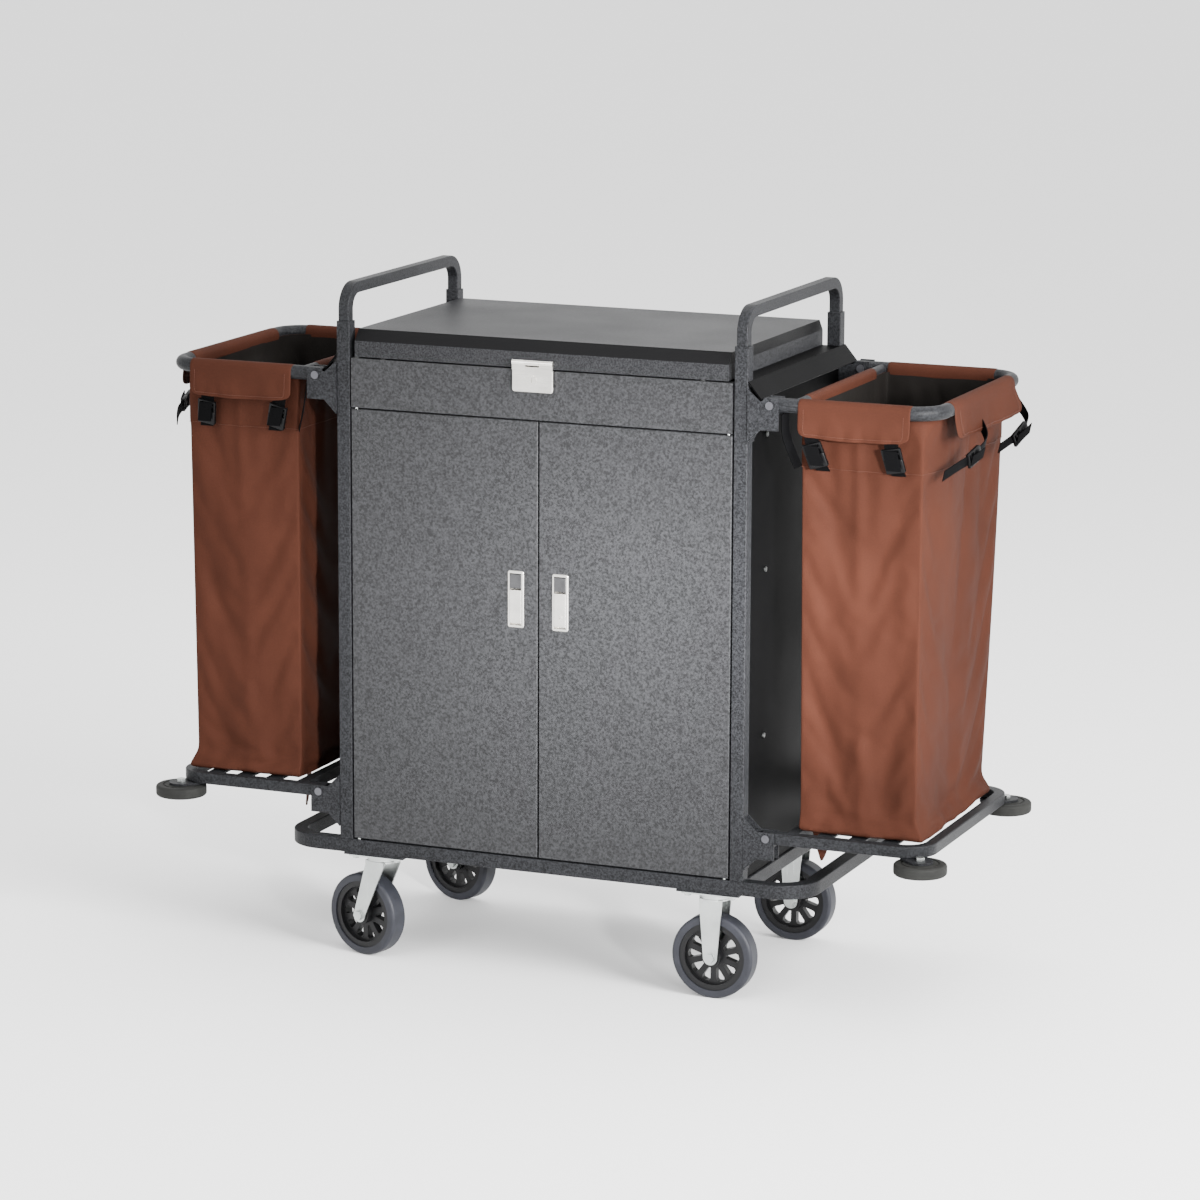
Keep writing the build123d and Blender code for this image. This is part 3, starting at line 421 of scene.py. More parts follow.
def woven(name, base, roughness, pitch, height=0.5):
    """Cloth with crossing threads on the piece's own cloth coordinates."""
    material, tree, shader = new_finish(name, base, roughness, Specular_IOR_Level=0.02)
    place = add_node(tree, "ShaderNodeUVMap", uv_map="cloth").outputs["UV"]
    threads = []
    for direction in ("X", "Y"):
        made = add_node(tree, "ShaderNodeTexWave",
                        [("Vector", place), ("Scale", 0.5 / pitch),
                         ("Distortion", 0.6), ("Detail", 1.0)],
                        wave_type="BANDS", bands_direction=direction)
        threads.append(made.outputs["Fac"])
    weave = maths(tree, "MULTIPLY", *threads)
    slub = noise_of(tree, place, 420.0, 3.0, 0.6)
    broad = noise_of(tree, own_place(tree), 7.0, 4.0, 0.55)
    blend = spread(tree, add_up(tree, slub, 0.45, broad, 0.55), 0.32, 0.68)
    tree.links.new(between(tree, blend, shade(base, 0.78), shade(base, 1.22)),
                   shader.inputs["Base Color"])
    tree.links.new(spread(tree, broad, 0.3, 0.7, roughness - 0.05, roughness + 0.06),
                   shader.inputs["Roughness"])
    raise_by(tree, shader, add_up(tree, weave, 0.6, slub, 0.4), height, pitch * 0.3)
    return material


class CART_OT_finishes(bpy.types.Operator):
    """Makes every finish and gives the frame's own pieces theirs"""

    bl_idname = "cart.finishes"
    bl_label = "Finishes"

    def execute(self, context):
        look = context.scene.cart_finish
        lid_lip = LID_LIP_Z - frame["nodes"]["lid_shell"].matrix_world.translation.z
        powder_coat("frame_paint", look.frame_paint, look.grain * 0.8, 0.45, 0.5, 0.08)
        powder_coat("panel_paint", look.panel_paint, look.grain, 0.44)
        powder_coat("lid_paint", look.panel_paint, look.grain * 0.7, 0.44, 0.35, 0.08, lid_lip)
        powder_coat("black_paint", look.black_paint, look.grain * 0.6, 0.5, 0.3, 0.03)
        powder_coat("tray_plastic", shade(look.panel_paint, 0.8), look.grain * 0.5, 0.55, 0.3)
        plated("zinc", (0.46, 0.48, 0.47), 0.30, (1, 1, 0.1), 300.0, 0.06)
        plated("dark_zinc", (0.10, 0.10, 0.11), 0.42, (1, 1, 1), 300.0, 0.06)
        plated("bright_nickel", (0.74, 0.72, 0.68), 0.22, (0.05, 1, 1), 600.0, 0.04)
        rubbery("button_plastic", (0.020, 0.020, 0.021), 0.4, 1400.0)
        rubbery("stop_rubber", (0.008, 0.008, 0.008), 0.7)
        rubbery("wheel_plastic", (0.004, 0.004, 0.0045), 0.42)
        rubbery("tyre_rubber", look.tyre, 0.5)
        rubbery("disc_rubber", look.rubber, 0.65, 900.0, 0.1)
        woven("bag_fabric", look.fabric, 0.62, look.thread_pitch)
        woven("bag_lining", look.lining, 0.6, look.thread_pitch, 0.3)
        woven("bag_webbing", look.webbing, 0.6, look.thread_pitch * 1.8, 0.8)
        rubbery("buckle_plastic", look.webbing, 0.33, 1200.0, 0.12)
        rubbery("sewing_thread", shade(look.fabric, 1.7), 0.6, 3000.0)
        subparts = frame["record"]["subparts"]
        slots = {part["node"]: part["material_slot"] for part in subparts}
        slots.update(lid_shell="lid_paint", bracket_pins="dark_zinc")
        for name, piece in frame["nodes"].items():
            material = bpy.data.materials[slots[name]]
            if not piece.material_slots:
                piece.data.materials.append(material)
            for place in piece.material_slots:
                place.material = material
        return {"FINISHED"}


# ================================================================ bags
WALLS = (("front", 18), ("outer", 30), ("rear", 18), ("inner", 30))  # and columns of each
WALLS_OUT = ((0, -1), (1, 0), (0, 1), (-1, 0))
CORNERS = ((False, -1), (True, -1), (True, 1), (False, 1))  # at the outer end, front or rear
CORNER_STEPS = 4
RIM_BAND = (0.055, 0.042)  # the bag opens out to the tube: start below its centre, and height
BASE_BAND = 0.040  # height over which the base spreads
NARROWING = 0.011  # how far the outer wall stands in from the rim's tube
WELT = 0.0013  # piping along the upright edges
SEAM_GAP = 0.0008  # half the distance between the two rows at the seam
CLOTH_REACH = 0.0045  # furthest that the hanging cloth may move a point


def bag_plan(bags, height, base):
    """The bag's outline at a height: points, the way out, the wall and how far along it."""
    down = min(max((bags.seam_height - height) / (bags.seam_height - base), 0), 1)
    opened = ease((height - (TUBE_Z - RIM_BAND[0])) / RIM_BAND[1])
    rim_x = TUBE_X - TUBE_R - bags.clear
    low_x = BAR_X + BAR_R + bags.clear + 0.3 * bags.taper * down
    wall_y = TUBE_Y - TUBE_R - bags.clear
    slump = bags.slump * ease((base + BASE_BAND - height) / BASE_BAND)
    end_y = {-1: -wall_y + 0.8 * bags.taper * down - 0.6 * slump,
             1: wall_y - bags.rear_taper * down ** 1.5 + slump}
    drawn_in = NARROWING * (1 - opened) - slump
    far_x = {-1: rim_x - drawn_in - bags.lean * down,
             1: rim_x - drawn_in - 2.5 * bags.lean * down}
    outer_r = bags.edge_radius + opened * (rim_x - (TUBE_X - TUBE_BEND) - bags.edge_radius)
    corners = []
    for number, (outer, way) in enumerate(CORNERS):
        radius = outer_r if outer else bags.edge_radius
        middle = Vector((far_x[way] - radius if outer else low_x + radius,
                         end_y[way] - way * radius))
        arc = []
        for step in range(CORNER_STEPS + 1):
            turn = math.radians(180 + 90 * number + 90 * step / CORNER_STEPS)
            out = Vector((math.cos(turn), math.sin(turn)))
            welt = WELT * (1 - opened) if step == CORNER_STEPS // 2 else 0
            arc.append((middle + out * (radius + welt), out, "corner", 0))
        corners.append(arc)
    plan = []
    for number, (wall, count) in enumerate(WALLS):
        start, end = corners[number][-1][0], corners[(number + 1) % 4][0][0]
        out = Vector(WALLS_OUT[number])
        plan += corners[number]
        for step in range(1, count + 1):
            share = step / (count + 1)
            along = 1 - share if wall == "rear" else share
            plan.append((start.lerp(end, share), out, wall, along))
    return plan


def ridge(value, middle, width, rise):
    """A fold with a crest at middle, or a furrow where rise is negative."""
    return rise * math.exp(-abs(value - middle) / width)


def swell(value, middle, width, rise):
    """A soft round bulge at middle, or a hollow where rise is negative."""
    return rise * math.exp(-((value - middle) / width) ** 2)


def end_folds(across, share, drift):
    """Front and rear walls: one fold down the middle that parts near the base."""
    push = ridge(across, 0.5 + drift, 0.08, 0.0105)
    parted = 0.75 * max(0.24 - share, 0)
    if parted:
        push += ridge(across, 0.5 + parted, 0.03, 0.005)
        push += ridge(across, 0.5 - parted, 0.03, 0.005)
    push += swell(across, 0.24 - 0.03 * share, 0.11, -0.0035)
    push += swell(across, 0.77 + 0.04 * share, 0.09, -0.0045)
    return push


def outer_folds(across, share):
    """The outer wall: a full front part and slanting folds that fade up and down it."""
    lean = 0.30 * (share - 0.5)
    upper, lower = ease((share - 0.25) / 0.3), ease((0.8 - share) / 0.4)
    push = swell(across, 0.24 + lean * 0.3, 0.14, 0.0095)
    push += ridge(across, 0.50 + lean, 0.06, -0.011 * upper)
    push += ridge(across, 0.66 + lean * 0.7, 0.06, 0.0085 * lower)
    push += ridge(across, 0.80 - lean * 0.4, 0.05, -0.0085 * upper)
    push += swell(across, 0.38 - lean, 0.07, -0.006 * lower)
    return push


def inner_folds(across, drift):
    """The wall beside the cabinet: nearly flat."""
    return swell(across, 0.35 + drift, 0.12, 0.002) + swell(across, 0.7 - drift, 0.1, -0.003)


def hang(wall, across, share, seed):
    """How far a wall of hanging cloth stands out: its folds, creases and gathered hem."""
    if wall == "corner":
        return 0.0
    free = ease(share * 14) * ease((1 - share) * 10)  # held by the base and the rim
    calm = min(across * 14, (1 - across) * 14, 1)  # and by the upright edges
    drift = 0.02 * math.sin(3.1 * share + seed)
    if wall in ("front", "rear"):
        push = end_folds(across, share, drift)
    elif wall == "outer":
        push = outer_folds(across, share)
    else:
        push = inner_folds(across, drift)
    push += 0.0036 * ripple(across * 3, share * 3, 1.7, seed)
    crumple = (1 - abs(ripple(across * 3.5 + share * 2, share * 11, 5.2, seed))) ** 8
    push -= 0.0022 * crumple
    puckered = math.exp(-min(across, 1 - across) / 0.14)  # more so beside an upright seam
    push += 0.0050 * puckered * ripple(across * 6, share * 26, 9.1, seed)
    push *= free * calm
    low = ease((0.075 - share) / 0.05)  # rolls of spare cloth at the foot
    phase = share / 0.034 + 0.8 * ripple(across * 4, share * 6, 2.9, seed)
    rolled = 0.0045 * math.sin(2 * math.pi * phase)
    push += calm * low * (rolled + 0.004 * ripple(across * 9, share * 30, 6.3, seed))
    return push


def bag_rows(bags, seed, base, rim):
    """Rows of points from the middle of the base, out and up the walls to the rim."""
    rows = []
    plan = bag_plan(bags, base, base)
    furthest = max(place.x for place, *_ in plan)
    middle = Vector(((plan[0][0].x + furthest) / 2, 0))
    for share in (0.12, 0.35, 0.6, 0.82):
        height = base + 0.0012 * (1 - share)
        rows.append([(*middle.lerp(place, share), height) for place, *_ in plan])
    seam = bags.seam_height
    levels = [base + (rim - base) * level / bags.levels for level in range(bags.levels + 1)]
    levels = [level for level in levels if abs(level - seam) > 5 * SEAM_GAP]
    levels = sorted(levels + [seam - SEAM_GAP, seam + SEAM_GAP])
    for height in levels:
        share = (height - base) / (rim - base)
        lap = bags.lap if height > seam else 0
        row = []
        for place, out, wall, across in bag_plan(bags, height, base):
            place = place + out * (hang(wall, across, share, seed) + lap)
            row.append(Vector((*place, height)))
        rows.append(row)
    return rows, levels


def relax(piece, bags, pinned, reach):
    """Lets the cloth hang from its pinned points, and caps how far a point may move."""
    rest = [vertex.co.copy() for vertex in piece.data.vertices]
    group = piece.vertex_groups.new(name="pinned")
    group.add(pinned, 1.0, "REPLACE")
    activate(piece)
    modifier = piece.modifiers.new("Cloth", "CLOTH")
    cloth = modifier.settings
    cloth.quality = 7
    cloth.mass = 0.35
    cloth.tension_stiffness = 22
    cloth.compression_stiffness = 22
    cloth.shear_stiffness = 8
    cloth.bending_stiffness = 0.7
    cloth.shrink_min = -bags.slack
    cloth.vertex_group_mass = group.name
    modifier.collision_settings.use_collision = False
    modifier.collision_settings.use_self_collision = False
    for step in range(1, bags.settle_frames + 1):
        bpy.context.scene.frame_set(step)
    bpy.ops.object.modifier_apply(modifier=modifier.name)
    bpy.context.scene.frame_set(1)
    for vertex, start in zip(piece.data.vertices, rest):
        move = vertex.co - start
        if move.length > reach:
            vertex.co = start + move * (reach / move.length)
    piece.vertex_groups.clear()


def make_bag(bags, word, side):
    """The hanging bag: four walls and a base in one sheet, lined inside, with its seam sewn."""
    base = deck_high.z + 0.0015
    rim = TUBE_Z - 0.003
    rows, levels = bag_rows(bags, side * 1.7, base, rim)
    piece = add_cloth(f"{word}_bag_body", rows, closed=True)
    count = len(rows[0])
    first = len(rows) - len(levels)
    walls = [wall for _, _, wall, _ in bag_plan(bags, base, base)]
    pinned = []
    for index in range(len(piece.data.vertices)):
        row, column = divmod(index, count)
        if row <= first + 1 or row >= len(rows) - 2 or walls[column] == "corner":
            pinned.append(index)
    relax(piece, bags, pinned, CLOTH_REACH)
    sewn_at = bags.seam_height + 0.004
    seam_row = first + min(range(len(levels)), key=lambda n: abs(levels[n] - sewn_at))
    places = [piece.data.vertices[seam_row * count + c].co.copy() for c in range(count)]
    plan = bag_plan(bags, bags.seam_height, base)
    sewn = [(place, Vector((*out, 0))) for place, (_, out, _, _) in zip(places, plan)]
    face_side(piece, side)
    for material in ("bag_fabric", "bag_lining"):
        piece.data.materials.append(bpy.data.materials[material])
    activate(piece)
    modifier = piece.modifiers.new("Fine", "SUBSURF")
    modifier.levels = 1
    modifier.render_levels = 1
    bpy.ops.object.modifier_apply(modifier=modifier.name)
    thicken(piece, bags.cloth, -1.0, inside=1)
    keep(piece, f"{word}_bag_body", "root", "bag_fabric")
    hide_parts(f"{word}_bag")
    fold_with_deck(piece)
    thread = add_stitches(bags, f"{word}_seam_stitches", sewn + sewn[:1], 0.0004)
    face_side(thread, side)
    keep(thread, f"{word}_seam_stitches", "root", "bag_fabric", "sewing_thread")
    fold_with_deck(thread)


def fold_with_deck(piece):
    """Gives a soft piece that rests on the deck its own copy of its mesh."""
    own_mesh(piece)


def fold_with_frame(piece):
    """Gives a soft piece that hangs from the bag's frame its own copy of its mesh."""
    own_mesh(piece)


STITCH_SHARE = 0.62  # of the pitch
STITCH_PROFILE = ((-0.35, 0.0), (-0.2, 0.6), (0.2, 0.6), (0.35, 0.0))  # across and out, mm


def add_stitches(bags, name, line, lift):
    """A row of short stitches along points that each know the way out of the cloth."""
    marks = steps([place for place, _ in line])
    sides = len(STITCH_PROFILE)
    vertices, faces = [], []
    number = 0
    while (number + 1) * bags.stitch < marks[-1]:
        ends = []
        for along in (number * bags.stitch, (number + STITCH_SHARE) * bags.stitch):
            spot = next(n for n in range(1, len(marks)) if marks[n] >= along)
            share = (along - marks[spot - 1]) / max(marks[spot] - marks[spot - 1], 1e-9)
            (a, out_a), (b, out_b) = line[spot - 1], line[spot]
            ends.append((a.lerp(b, share), out_a.lerp(out_b, share).normalized()))
        run = (ends[1][0] - ends[0][0]).normalized()
        start = len(vertices)
        for place, out in ends:
            wide = run.cross(out)
            for across, height in STITCH_PROFILE:
                raised = lift + height * 0.001 - 0.0002
                vertices.append(place + wide * (across * 0.001) + out * raised)
        for side in range(sides):
            after = (side + 1) % sides
            faces.append((start + side, start + after, start + sides + after, start + sides + side))
        faces.append(tuple(start + side for side in reversed(range(sides))))
        faces.append(tuple(start + sides + side for side in range(sides)))
        number += 1
    mesh = bpy.data.meshes.new(name)
    mesh.from_pydata([tuple(v) for v in vertices], [], faces)
    piece = bpy.data.objects.new(name, mesh)
    bpy.context.collection.objects.link(piece)
    activate(piece)
    bpy.ops.object.mode_set(mode="EDIT")
    bpy.ops.mesh.select_all(action="SELECT")
    bpy.ops.mesh.normals_make_consistent(inside=False)
    bpy.ops.object.mode_set(mode="OBJECT")
    return piece


FLAP_COLUMNS = 36
FLAP_ROWS = 16  # of the part that hangs outside
FLAP_ARC = 10  # steps over the tube
FLAP_INSIDE = (-0.010, -0.004)  # heights of the part that hangs inside
FLAP_TOP = len(FLAP_INSIDE) + FLAP_ARC + 1  # rows before the part outside


def flap_rows(bags, start, run, out, radius, width, seed, flare):
    """A flap over a tube: rows from its inner edge, over the top and down to its hem."""
    drop = bags.flap_drop
    profile = [(-radius, height) for height in FLAP_INSIDE]
    for step in range(FLAP_ARC + 1):
        turn = math.pi * step / FLAP_ARC
        profile.append((-radius * math.cos(turn), radius * math.sin(turn)))
    profile += [(radius, -drop * step / FLAP_ROWS) for step in range(1, FLAP_ROWS + 1)]
    rows = []
    for off, height in profile:
        below = max(-height, 0) if off > 0 else 0
        loose = (below / drop) ** 1.2
        rest = max(bags.flap_corner - (drop - below), 0) if off > 0 else 0
        narrow = bags.flap_corner - math.sqrt(max(bags.flap_corner ** 2 - rest ** 2, 0))
        row = []
        for column in range(FLAP_COLUMNS + 1):
            across = column / FLAP_COLUMNS
            place = (width / 2 - narrow) * (2 * across - 1) + width / 2
            point = Vector(start) + Vector(run) * place + UP * (TUBE_Z + height)
            wave = 0.0055 * ripple(place * 22, below * 10, 3.1, seed)
            wave += 0.0026 * ripple(place * 64, below * 24, 8.4, seed)
            lifted = flare * ease(below / drop) * (0.55 + 0.9 * across)
            sag = -0.003 * math.sin(math.pi * across) * (below / drop)
            row.append(point + Vector(out) * (off + wave * loose + lifted) + UP * sag)
        rows.append(row)
    return rows


def make_flap(bags, name, word, side, start, run, out, radius, width, seed, flare=0.003):
    """One flap that starts at a corner and runs along a tube, with its hem's stitches."""
    rows = flap_rows(bags, start, run, out, radius + bags.clear, width, seed, flare)
    piece = add_cloth(name, rows)
    flat = steps([row[0] for row in rows])[-1]
    out = Vector(out)
    if Vector(run).cross(UP).dot(out) < 0:
        piece.data.flip_normals()
    face_side(piece, side)
    thicken(piece, bags.flap_cloth, 1.0, rounded=1)
    keep(piece, name, f"{word}_frame", "bag_fabric", "bag_fabric")
    fold_with_frame(piece)
    line = [(row[2], out) for row in rows[FLAP_TOP:-3]]
    line += [(place, out) for place in rows[-3][2:-2]]
    line += [(row[-3], out) for row in reversed(rows[FLAP_TOP:-3])]
    thread = add_stitches(bags, f"{name}_stitches", line, bags.flap_cloth)
    face_side(thread, side)
    keep(thread, f"{name}_stitches", f"{word}_frame", "bag_fabric", "sewing_thread")
    fold_with_frame(thread)


# ================================================================ straps
WEBBING = 0.0016  # thickness
BAND_STEPS = 6  # between two points of a band's path
BUCKLE_AT = 2  # the point of its path that a buckle sits on
# a buckle's parts: left and right as shares of its half width, back and front, low and high,
# rounding and its segments
BUCKLE = (
    ((-1.00, 1.00), (-0.0042, 0.0042), (-0.0210, 0.0045), 0.0022, 3),  # socket
    ((-0.86, 0.86), (-0.0030, 0.0030), (0.0125, 0.0165), 0.0012, 2),  # plug's crossbar
    ((-0.86, 0.86), (-0.0030, 0.0034), (0.0205, 0.0240), 0.0012, 2),  # the strap's bar
    ((-0.30, 0.30), (-0.0024, 0.0024), (0.0035, 0.0135), 0.0010, 2),  # tongue
    ((-0.62, 0.62), (0.0036, 0.0052), (-0.0150, -0.0040), 0.0007, 2),  # raised field
    ((-0.74, -1.02), (-0.0030, 0.0030), (0.0035, 0.0240), 0.0012, 2),  # prongs
    ((0.74, 1.02), (-0.0030, 0.0030), (0.0035, 0.0240), 0.0012, 2),
)
SIDE_STRAPS = ((0.506, 0.010), (0.645, 0.006))  # x of each and how far it slants
OUTER_STRAPS = ((-0.205, -0.030), (0.100, 0.186))  # y of each one's start and finish
ARM_STRAP = 0.018  # width


def add_band(name, path, across, width, thickness):
    """A strip of webbing along a path, rounded through its turns."""
    path = [Vector(place) for place in path]
    fine = []
    for a, b, c, d in zip([path[0]] + path, path, path[1:], path[2:] + [path[-1]]):
        for step in range(BAND_STEPS):
            t = step / BAND_STEPS
            fine.append(0.5 * (2 * b + (c - a) * t + (2 * a - 5 * b + 4 * c - d) * t ** 2
                               + (3 * b - a - 3 * c + d) * t ** 3))
    fine.append(path[-1])
    wide = Vector(across).normalized() * (width / 2)
    rows = [[place + wide * share for share in (-1, -0.5, 0, 0.5, 1)] for place in fine]
    piece = add_cloth(name, rows)
    thicken(piece, thickness, 0.0)
    return piece


def add_buckle(place, along, out, width):
    """A side-release buckle: socket, two prongs and the bar its strap turns round."""
    half = width / 2
    parts = []
    for (left, right), (back, front), (low, high), radius, segments in BUCKLE:
        parts.append(add_box((half * left, back, low), (half * right, front, high),
                             radius, segments))
    piece = join(parts)
    up, face = Vector(along).normalized(), Vector(out).normalized()
    wide = face.cross(up).normalized()
    face = up.cross(wide)
    turn = Matrix((wide, face, up)).transposed().to_4x4()
    piece.matrix_world = Matrix.Translation(place) @ turn
    settle_place(piece)
    smooth(piece)
    return piece


def fasten(name, word, side, path, across, out, width):
    """A strap along a path, with its buckle and its loose end."""
    out = Vector(out)
    at = Vector(path[BUCKLE_AT])
    up = (Vector(path[BUCKLE_AT - 1]) - Vector(path[BUCKLE_AT + 1])).normalized()
    buckle = add_buckle(at + out * 0.001, up, out, width * 1.36)
    band = add_band(name, path, across, width, WEBBING)
    tail = at + out * 0.006
    turned_back = [tail + up * 0.020, tail + up * 0.006 + out * 0.003,
                   tail - up * 0.016 + out * 0.0055]
    loop = add_band(name + "_tail", turned_back, across, width, WEBBING)
    for piece, label, material in ((buckle, "buckle", "buckle_plastic"),
                                   (band, "strap", "bag_webbing"),
                                   (loop, "strap_end", "bag_webbing")):
        face_side(piece, side)
        keep(piece, f"{name}_{label}", f"{word}_frame", "button_plastic", material)
        fold_with_frame(piece)


class CART_OT_bags(bpy.types.Operator):
    """Makes the two hanging bags with their flaps"""

    bl_idname = "cart.bags"
    bl_label = "Bags"

    def execute(self, context):
        bags = context.scene.cart_bags
        flap_x = (BAR_X + BAR_R + 0.002, TUBE_X - 0.040)
        flap_y = TUBE_Y - 0.064
        for word, side in SIDES:
            make_bag(bags, word, side)
            for end, way in ENDS:
                make_flap(bags, f"{word}_{end}_flap", word, side, (flap_x[0], way * TUBE_Y, 0),
                          (1, 0, 0), (0, way, 0), TUBE_R, flap_x[1] - flap_x[0], side + way * 3)
            make_flap(bags, f"{word}_outer_flap", word, side, (TUBE_X, -flap_y, 0),
                      (0, 1, 0), (1, 0, 0), TUBE_R, 2 * flap_y, side * 5, 0.010)
            make_flap(bags, f"{word}_inner_flap", word, side, (BAR_X, -flap_y, 0),
                      (0, 1, 0), (-1, 0, 0), BAR_R, 2 * flap_y, side * 7, 0.001)
        return {"FINISHED"}


class CART_OT_straps(bpy.types.Operator):
    """Makes the straps and buckles below the flaps and the pull tabs below the bags"""

    bl_idname = "cart.straps"
    bl_label = "Straps"

    def execute(self, context):
        bags = context.scene.cart_bags
        for word, side in SIDES:
            for end, way in ENDS:
                for number, (x, slant) in enumerate(SIDE_STRAPS):
                    self.side_strap(bags, f"{word}_{end}_{number + 1}", word, side, way, x, slant)
            for (end, way), (start, finish) in zip(ENDS, OUTER_STRAPS):
                self.outer_strap(bags, f"{word}_outer_{end}", word, side, start, finish)
                self.arm_strap(bags, f"{word}_{end}_arm_strap", word, side, way)
            self.pull_tab(word, side)
        return {"FINISHED"}

    def hem_and_wall(self, bags):
        """The height of a flap's hem and the distance of the bag's front and rear walls."""
        return TUBE_Z - bags.flap_drop, TUBE_Y - TUBE_R - bags.clear

    def side_strap(self, bags, name, word, side, way, x, slant):
        """A strap from under a front or rear flap down to the bag's wall."""
        hem, wall = self.hem_and_wall(bags)
        under = way * (TUBE_Y + TUBE_R - 0.002)
        path = [(x - slant, under, hem + 0.016),
                (x - slant * 0.6, under, hem - 0.004),
                (x, way * (wall + 0.019), hem - 0.032),
                (x + slant, way * (wall + 0.009), hem - 0.058)]
        fasten(name, word, side, path, (1, 0, 0), (0, way, 0), bags.strap)

    def outer_strap(self, bags, name, word, side, start, finish):
        """A strap that climbs the outer wall and ends under the outer flap."""
        hem, _ = self.hem_and_wall(bags)
        path = [(bag_high.x - 0.008, start, hem - 0.056),
                (bag_high.x + 0.006, start * 0.8 + finish * 0.2, hem - 0.044),
                (bag_high.x + 0.016, (start + finish) / 2, hem - 0.034),
                (bag_high.x + 0.021, start * 0.2 + finish * 0.8, hem - 0.014),
                (TUBE_X + TUBE_R + 0.001, finish, hem + 0.012)]
        fasten(name, word, side, path, (0.15, 0.25, 1), (1, -0.1, 0.1), bags.strap * 0.72)

    def arm_strap(self, bags, name, word, side, way):
        """A strap from the frame's arm to the bag's corner beside the cabinet."""
        hem, wall = self.hem_and_wall(bags)
        path = [(0.449, way * (TUBE_Y + 0.001), TUBE_Z - TUBE_R - 0.001),
                (0.453, way * (TUBE_Y + 0.004), hem - 0.004),
                (0.470, way * (wall + 0.005), hem - 0.056)]
        band = add_band(name, path, (0.5, way * -1, 0.2), ARM_STRAP, WEBBING)
        face_side(band, side)
        keep(band, name, f"{word}_frame", "button_plastic", "bag_webbing")
        fold_with_frame(band)

    def pull_tab(self, word, side):
        """The folded corner of cloth that hangs between the deck's inner bar and first slat."""
        top, x, y = deck_high.z + 0.0012, 0.4965, -0.140
        rows = []
        for step in range(11):
            share = step / 10
            half = (1 - share) ** 0.8 + 0.05
            row = []
            for a in (-1, -0.5, 0, 0.5, 1):
                slide = -0.010 * share - 0.004 * (1 - abs(a))
                row.append(Vector((x + 0.0138 * half * a, y + 0.022 * half * a + slide,
                                   top - 0.064 * share)))
            rows.append(row)
        tab = add_cloth(f"{word}_pull_tab", rows)
        face_side(tab, side)
        thicken(tab, 0.0024, 0.0)
        keep(tab, f"{word}_pull_tab", "root", "bag_fabric", "bag_fabric")
        fold_with_deck(tab)


# ================================================================ stage
LIGHTS = (  # name, place, size and the property with its power
    ("key", (5.0, -2.0, 2.6), (2.2, 2.2), "key_power"),
    ("fill", (-1.6, -5.0, 3.0), (2.6, 2.2), "fill_power"),
    ("top", (0.4, 0.6, 4.4), (3.4, 2.4), "fill_power"),
)
LIT = (0, 0, 0.65)  # where the lights point
SPOT_PLACE = (3.4, -4.0, 1.7)
SPOT_TARGET = (0.21, -0.25, 0.72)  # the nearer door
SPOT_ANGLE = 11.5
CAMERA_PLACE = (3.056, -7.333, 2.258)
CAMERA_TURN = (22.52, 11.49, 0.25)  # yaw, pitch and roll in degrees
CAMERA_LENS = 135.93


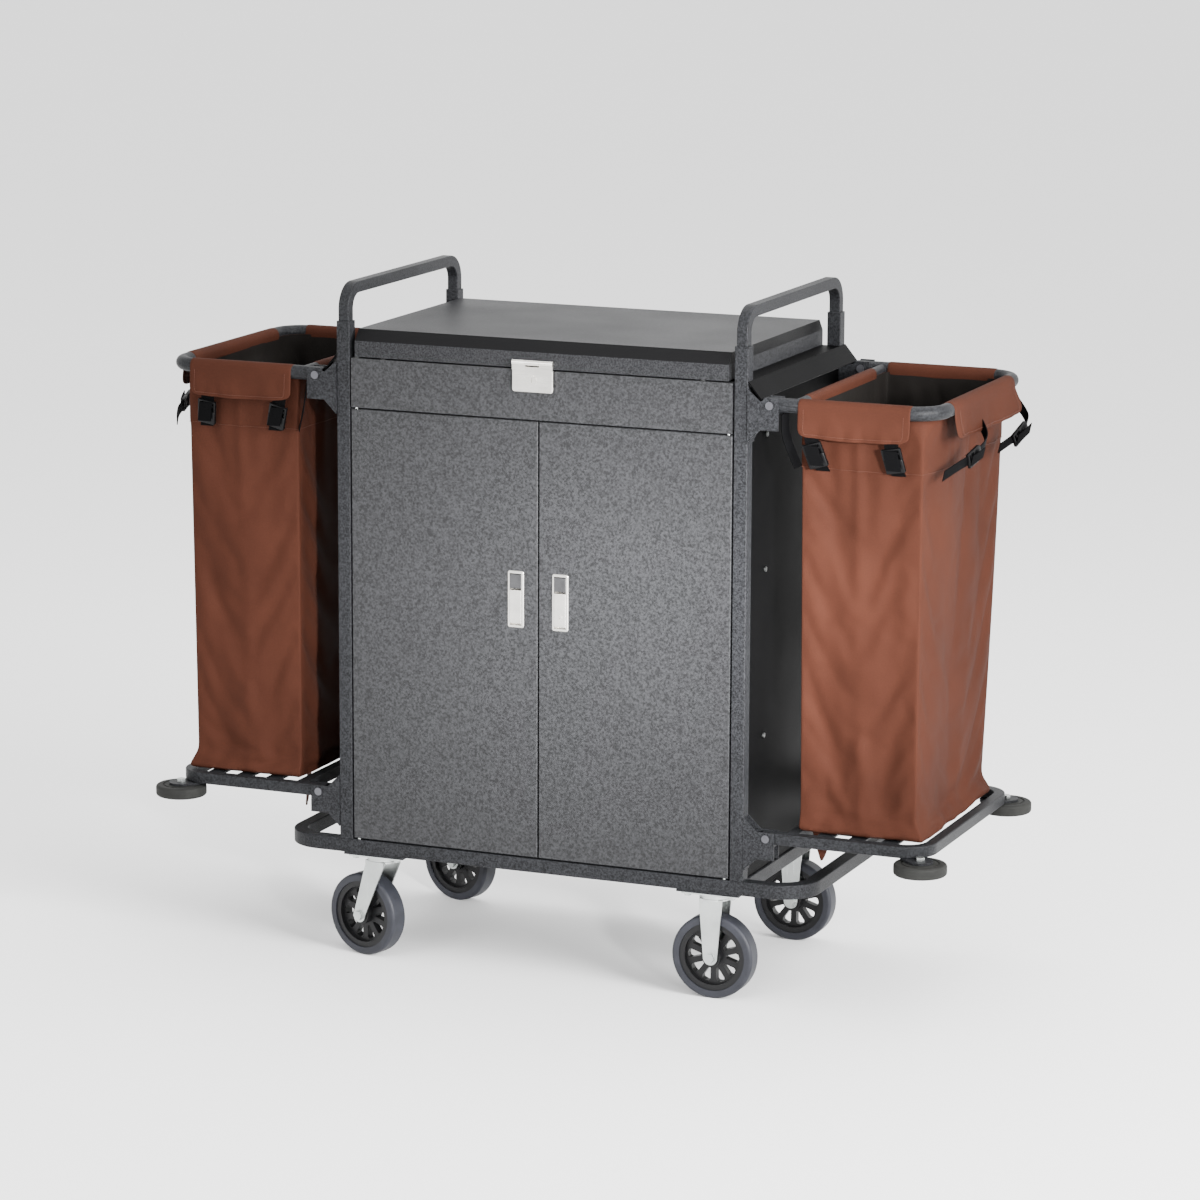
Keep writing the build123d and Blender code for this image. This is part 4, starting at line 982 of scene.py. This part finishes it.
class CART_OT_stage(bpy.types.Operator):
    """Lays the floor and sets the studio's lights and the camera"""

    bl_idname = "cart.stage"
    bl_label = "Stage"

    def execute(self, context):
        stage = context.scene.cart_stage
        deselect()
        bpy.ops.mesh.primitive_plane_add(size=160)
        floor = context.object
        floor.name = "studio_floor"
        material, tree, shader = new_finish("studio_floor", stage.floor_colour, 0.9)
        tone = noise_of(tree, own_place(tree), 0.4)
        light = tuple(stage.floor_colour)
        tree.links.new(between(tree, tone, shade(light, 0.99), shade(light, 1.01)),
                       shader.inputs["Base Color"])
        floor.data.materials.append(material)
        world = bpy.data.worlds.new("studio")
        context.scene.world = world
        world.use_nodes = True
        sky = world.node_tree.nodes["Background"]
        sky.inputs["Color"].default_value = (1.0, 1.0, 1.0, 1)
        sky.inputs["Strength"].default_value = stage.sky
        for name, place, size, power in LIGHTS:
            data = bpy.data.lights.new(name, "AREA")
            data.shape = "RECTANGLE"
            data.size, data.size_y = size
            data.energy = getattr(stage, power)
            self.put_lamp(name, data, place, LIT)
        data = bpy.data.lights.new("pool", "SPOT")
        data.energy = stage.pool_power
        data.shadow_soft_size = 0.35
        data.spot_size = math.radians(SPOT_ANGLE)
        data.spot_blend = 1.0
        self.put_lamp("pool", data, SPOT_PLACE, SPOT_TARGET)
        self.add_camera(context)
        return {"FINISHED"}

    def put_lamp(self, name, data, place, target):
        """Places a light and points it at its target."""
        lamp = bpy.data.objects.new(name, data)
        bpy.context.collection.objects.link(lamp)
        lamp.location = place
        towards = Vector(target) - Vector(place)
        lamp.rotation_euler = towards.to_track_quat("-Z", "Y").to_euler()

    def add_camera(self, context):
        """Sets the camera."""
        yaw, pitch, roll = (math.radians(angle) for angle in CAMERA_TURN)
        data = bpy.data.cameras.new("view")
        data.sensor_width = 36
        data.lens = CAMERA_LENS
        camera = bpy.data.objects.new("view", data)
        context.collection.objects.link(camera)
        turn = (Matrix.Rotation(yaw, 4, "Z")
                @ Matrix.Rotation(math.radians(90) - pitch, 4, "X")
                @ Matrix.Rotation(roll, 4, "Z"))
        camera.matrix_world = Matrix.Translation(CAMERA_PLACE) @ turn
        context.scene.camera = camera


# ================================================================ panel and registration
class CART_PT_sidebar(bpy.types.Panel):
    """Lists the cart's operators and sizes"""

    bl_idname = "CART_PT_sidebar"
    bl_label = "Housekeeping Cart"
    bl_space_type = "VIEW_3D"
    bl_region_type = "UI"
    bl_category = "Cart"

    def draw(self, context):
        for operator in OPERATORS:
            self.layout.operator(operator.bl_idname)
        for group in (context.scene.cart_finish, context.scene.cart_bags, context.scene.cart_stage):
            for name in group.__annotations__:
                self.layout.prop(group, name)


GROUPS = {"cart_finish": CartFinish, "cart_bags": CartBags, "cart_stage": CartStage}
OPERATORS = (CART_OT_finishes, CART_OT_bags, CART_OT_straps, CART_OT_stage)


def register():
    for name, group in GROUPS.items():
        bpy.utils.register_class(group)
        setattr(bpy.types.Scene, name, PointerProperty(type=group))
    for operator in OPERATORS:
        bpy.utils.register_class(operator)
    bpy.utils.register_class(CART_PT_sidebar)


def unregister():
    bpy.utils.unregister_class(CART_PT_sidebar)
    for operator in reversed(OPERATORS):
        bpy.utils.unregister_class(operator)
    for name, group in GROUPS.items():
        delattr(bpy.types.Scene, name)
        bpy.utils.unregister_class(group)


def main():
    register()
    for operator in OPERATORS:
        section, call = operator.bl_idname.split(".")
        getattr(getattr(bpy.ops, section), call)()


if __name__ == "__main__":
    main()
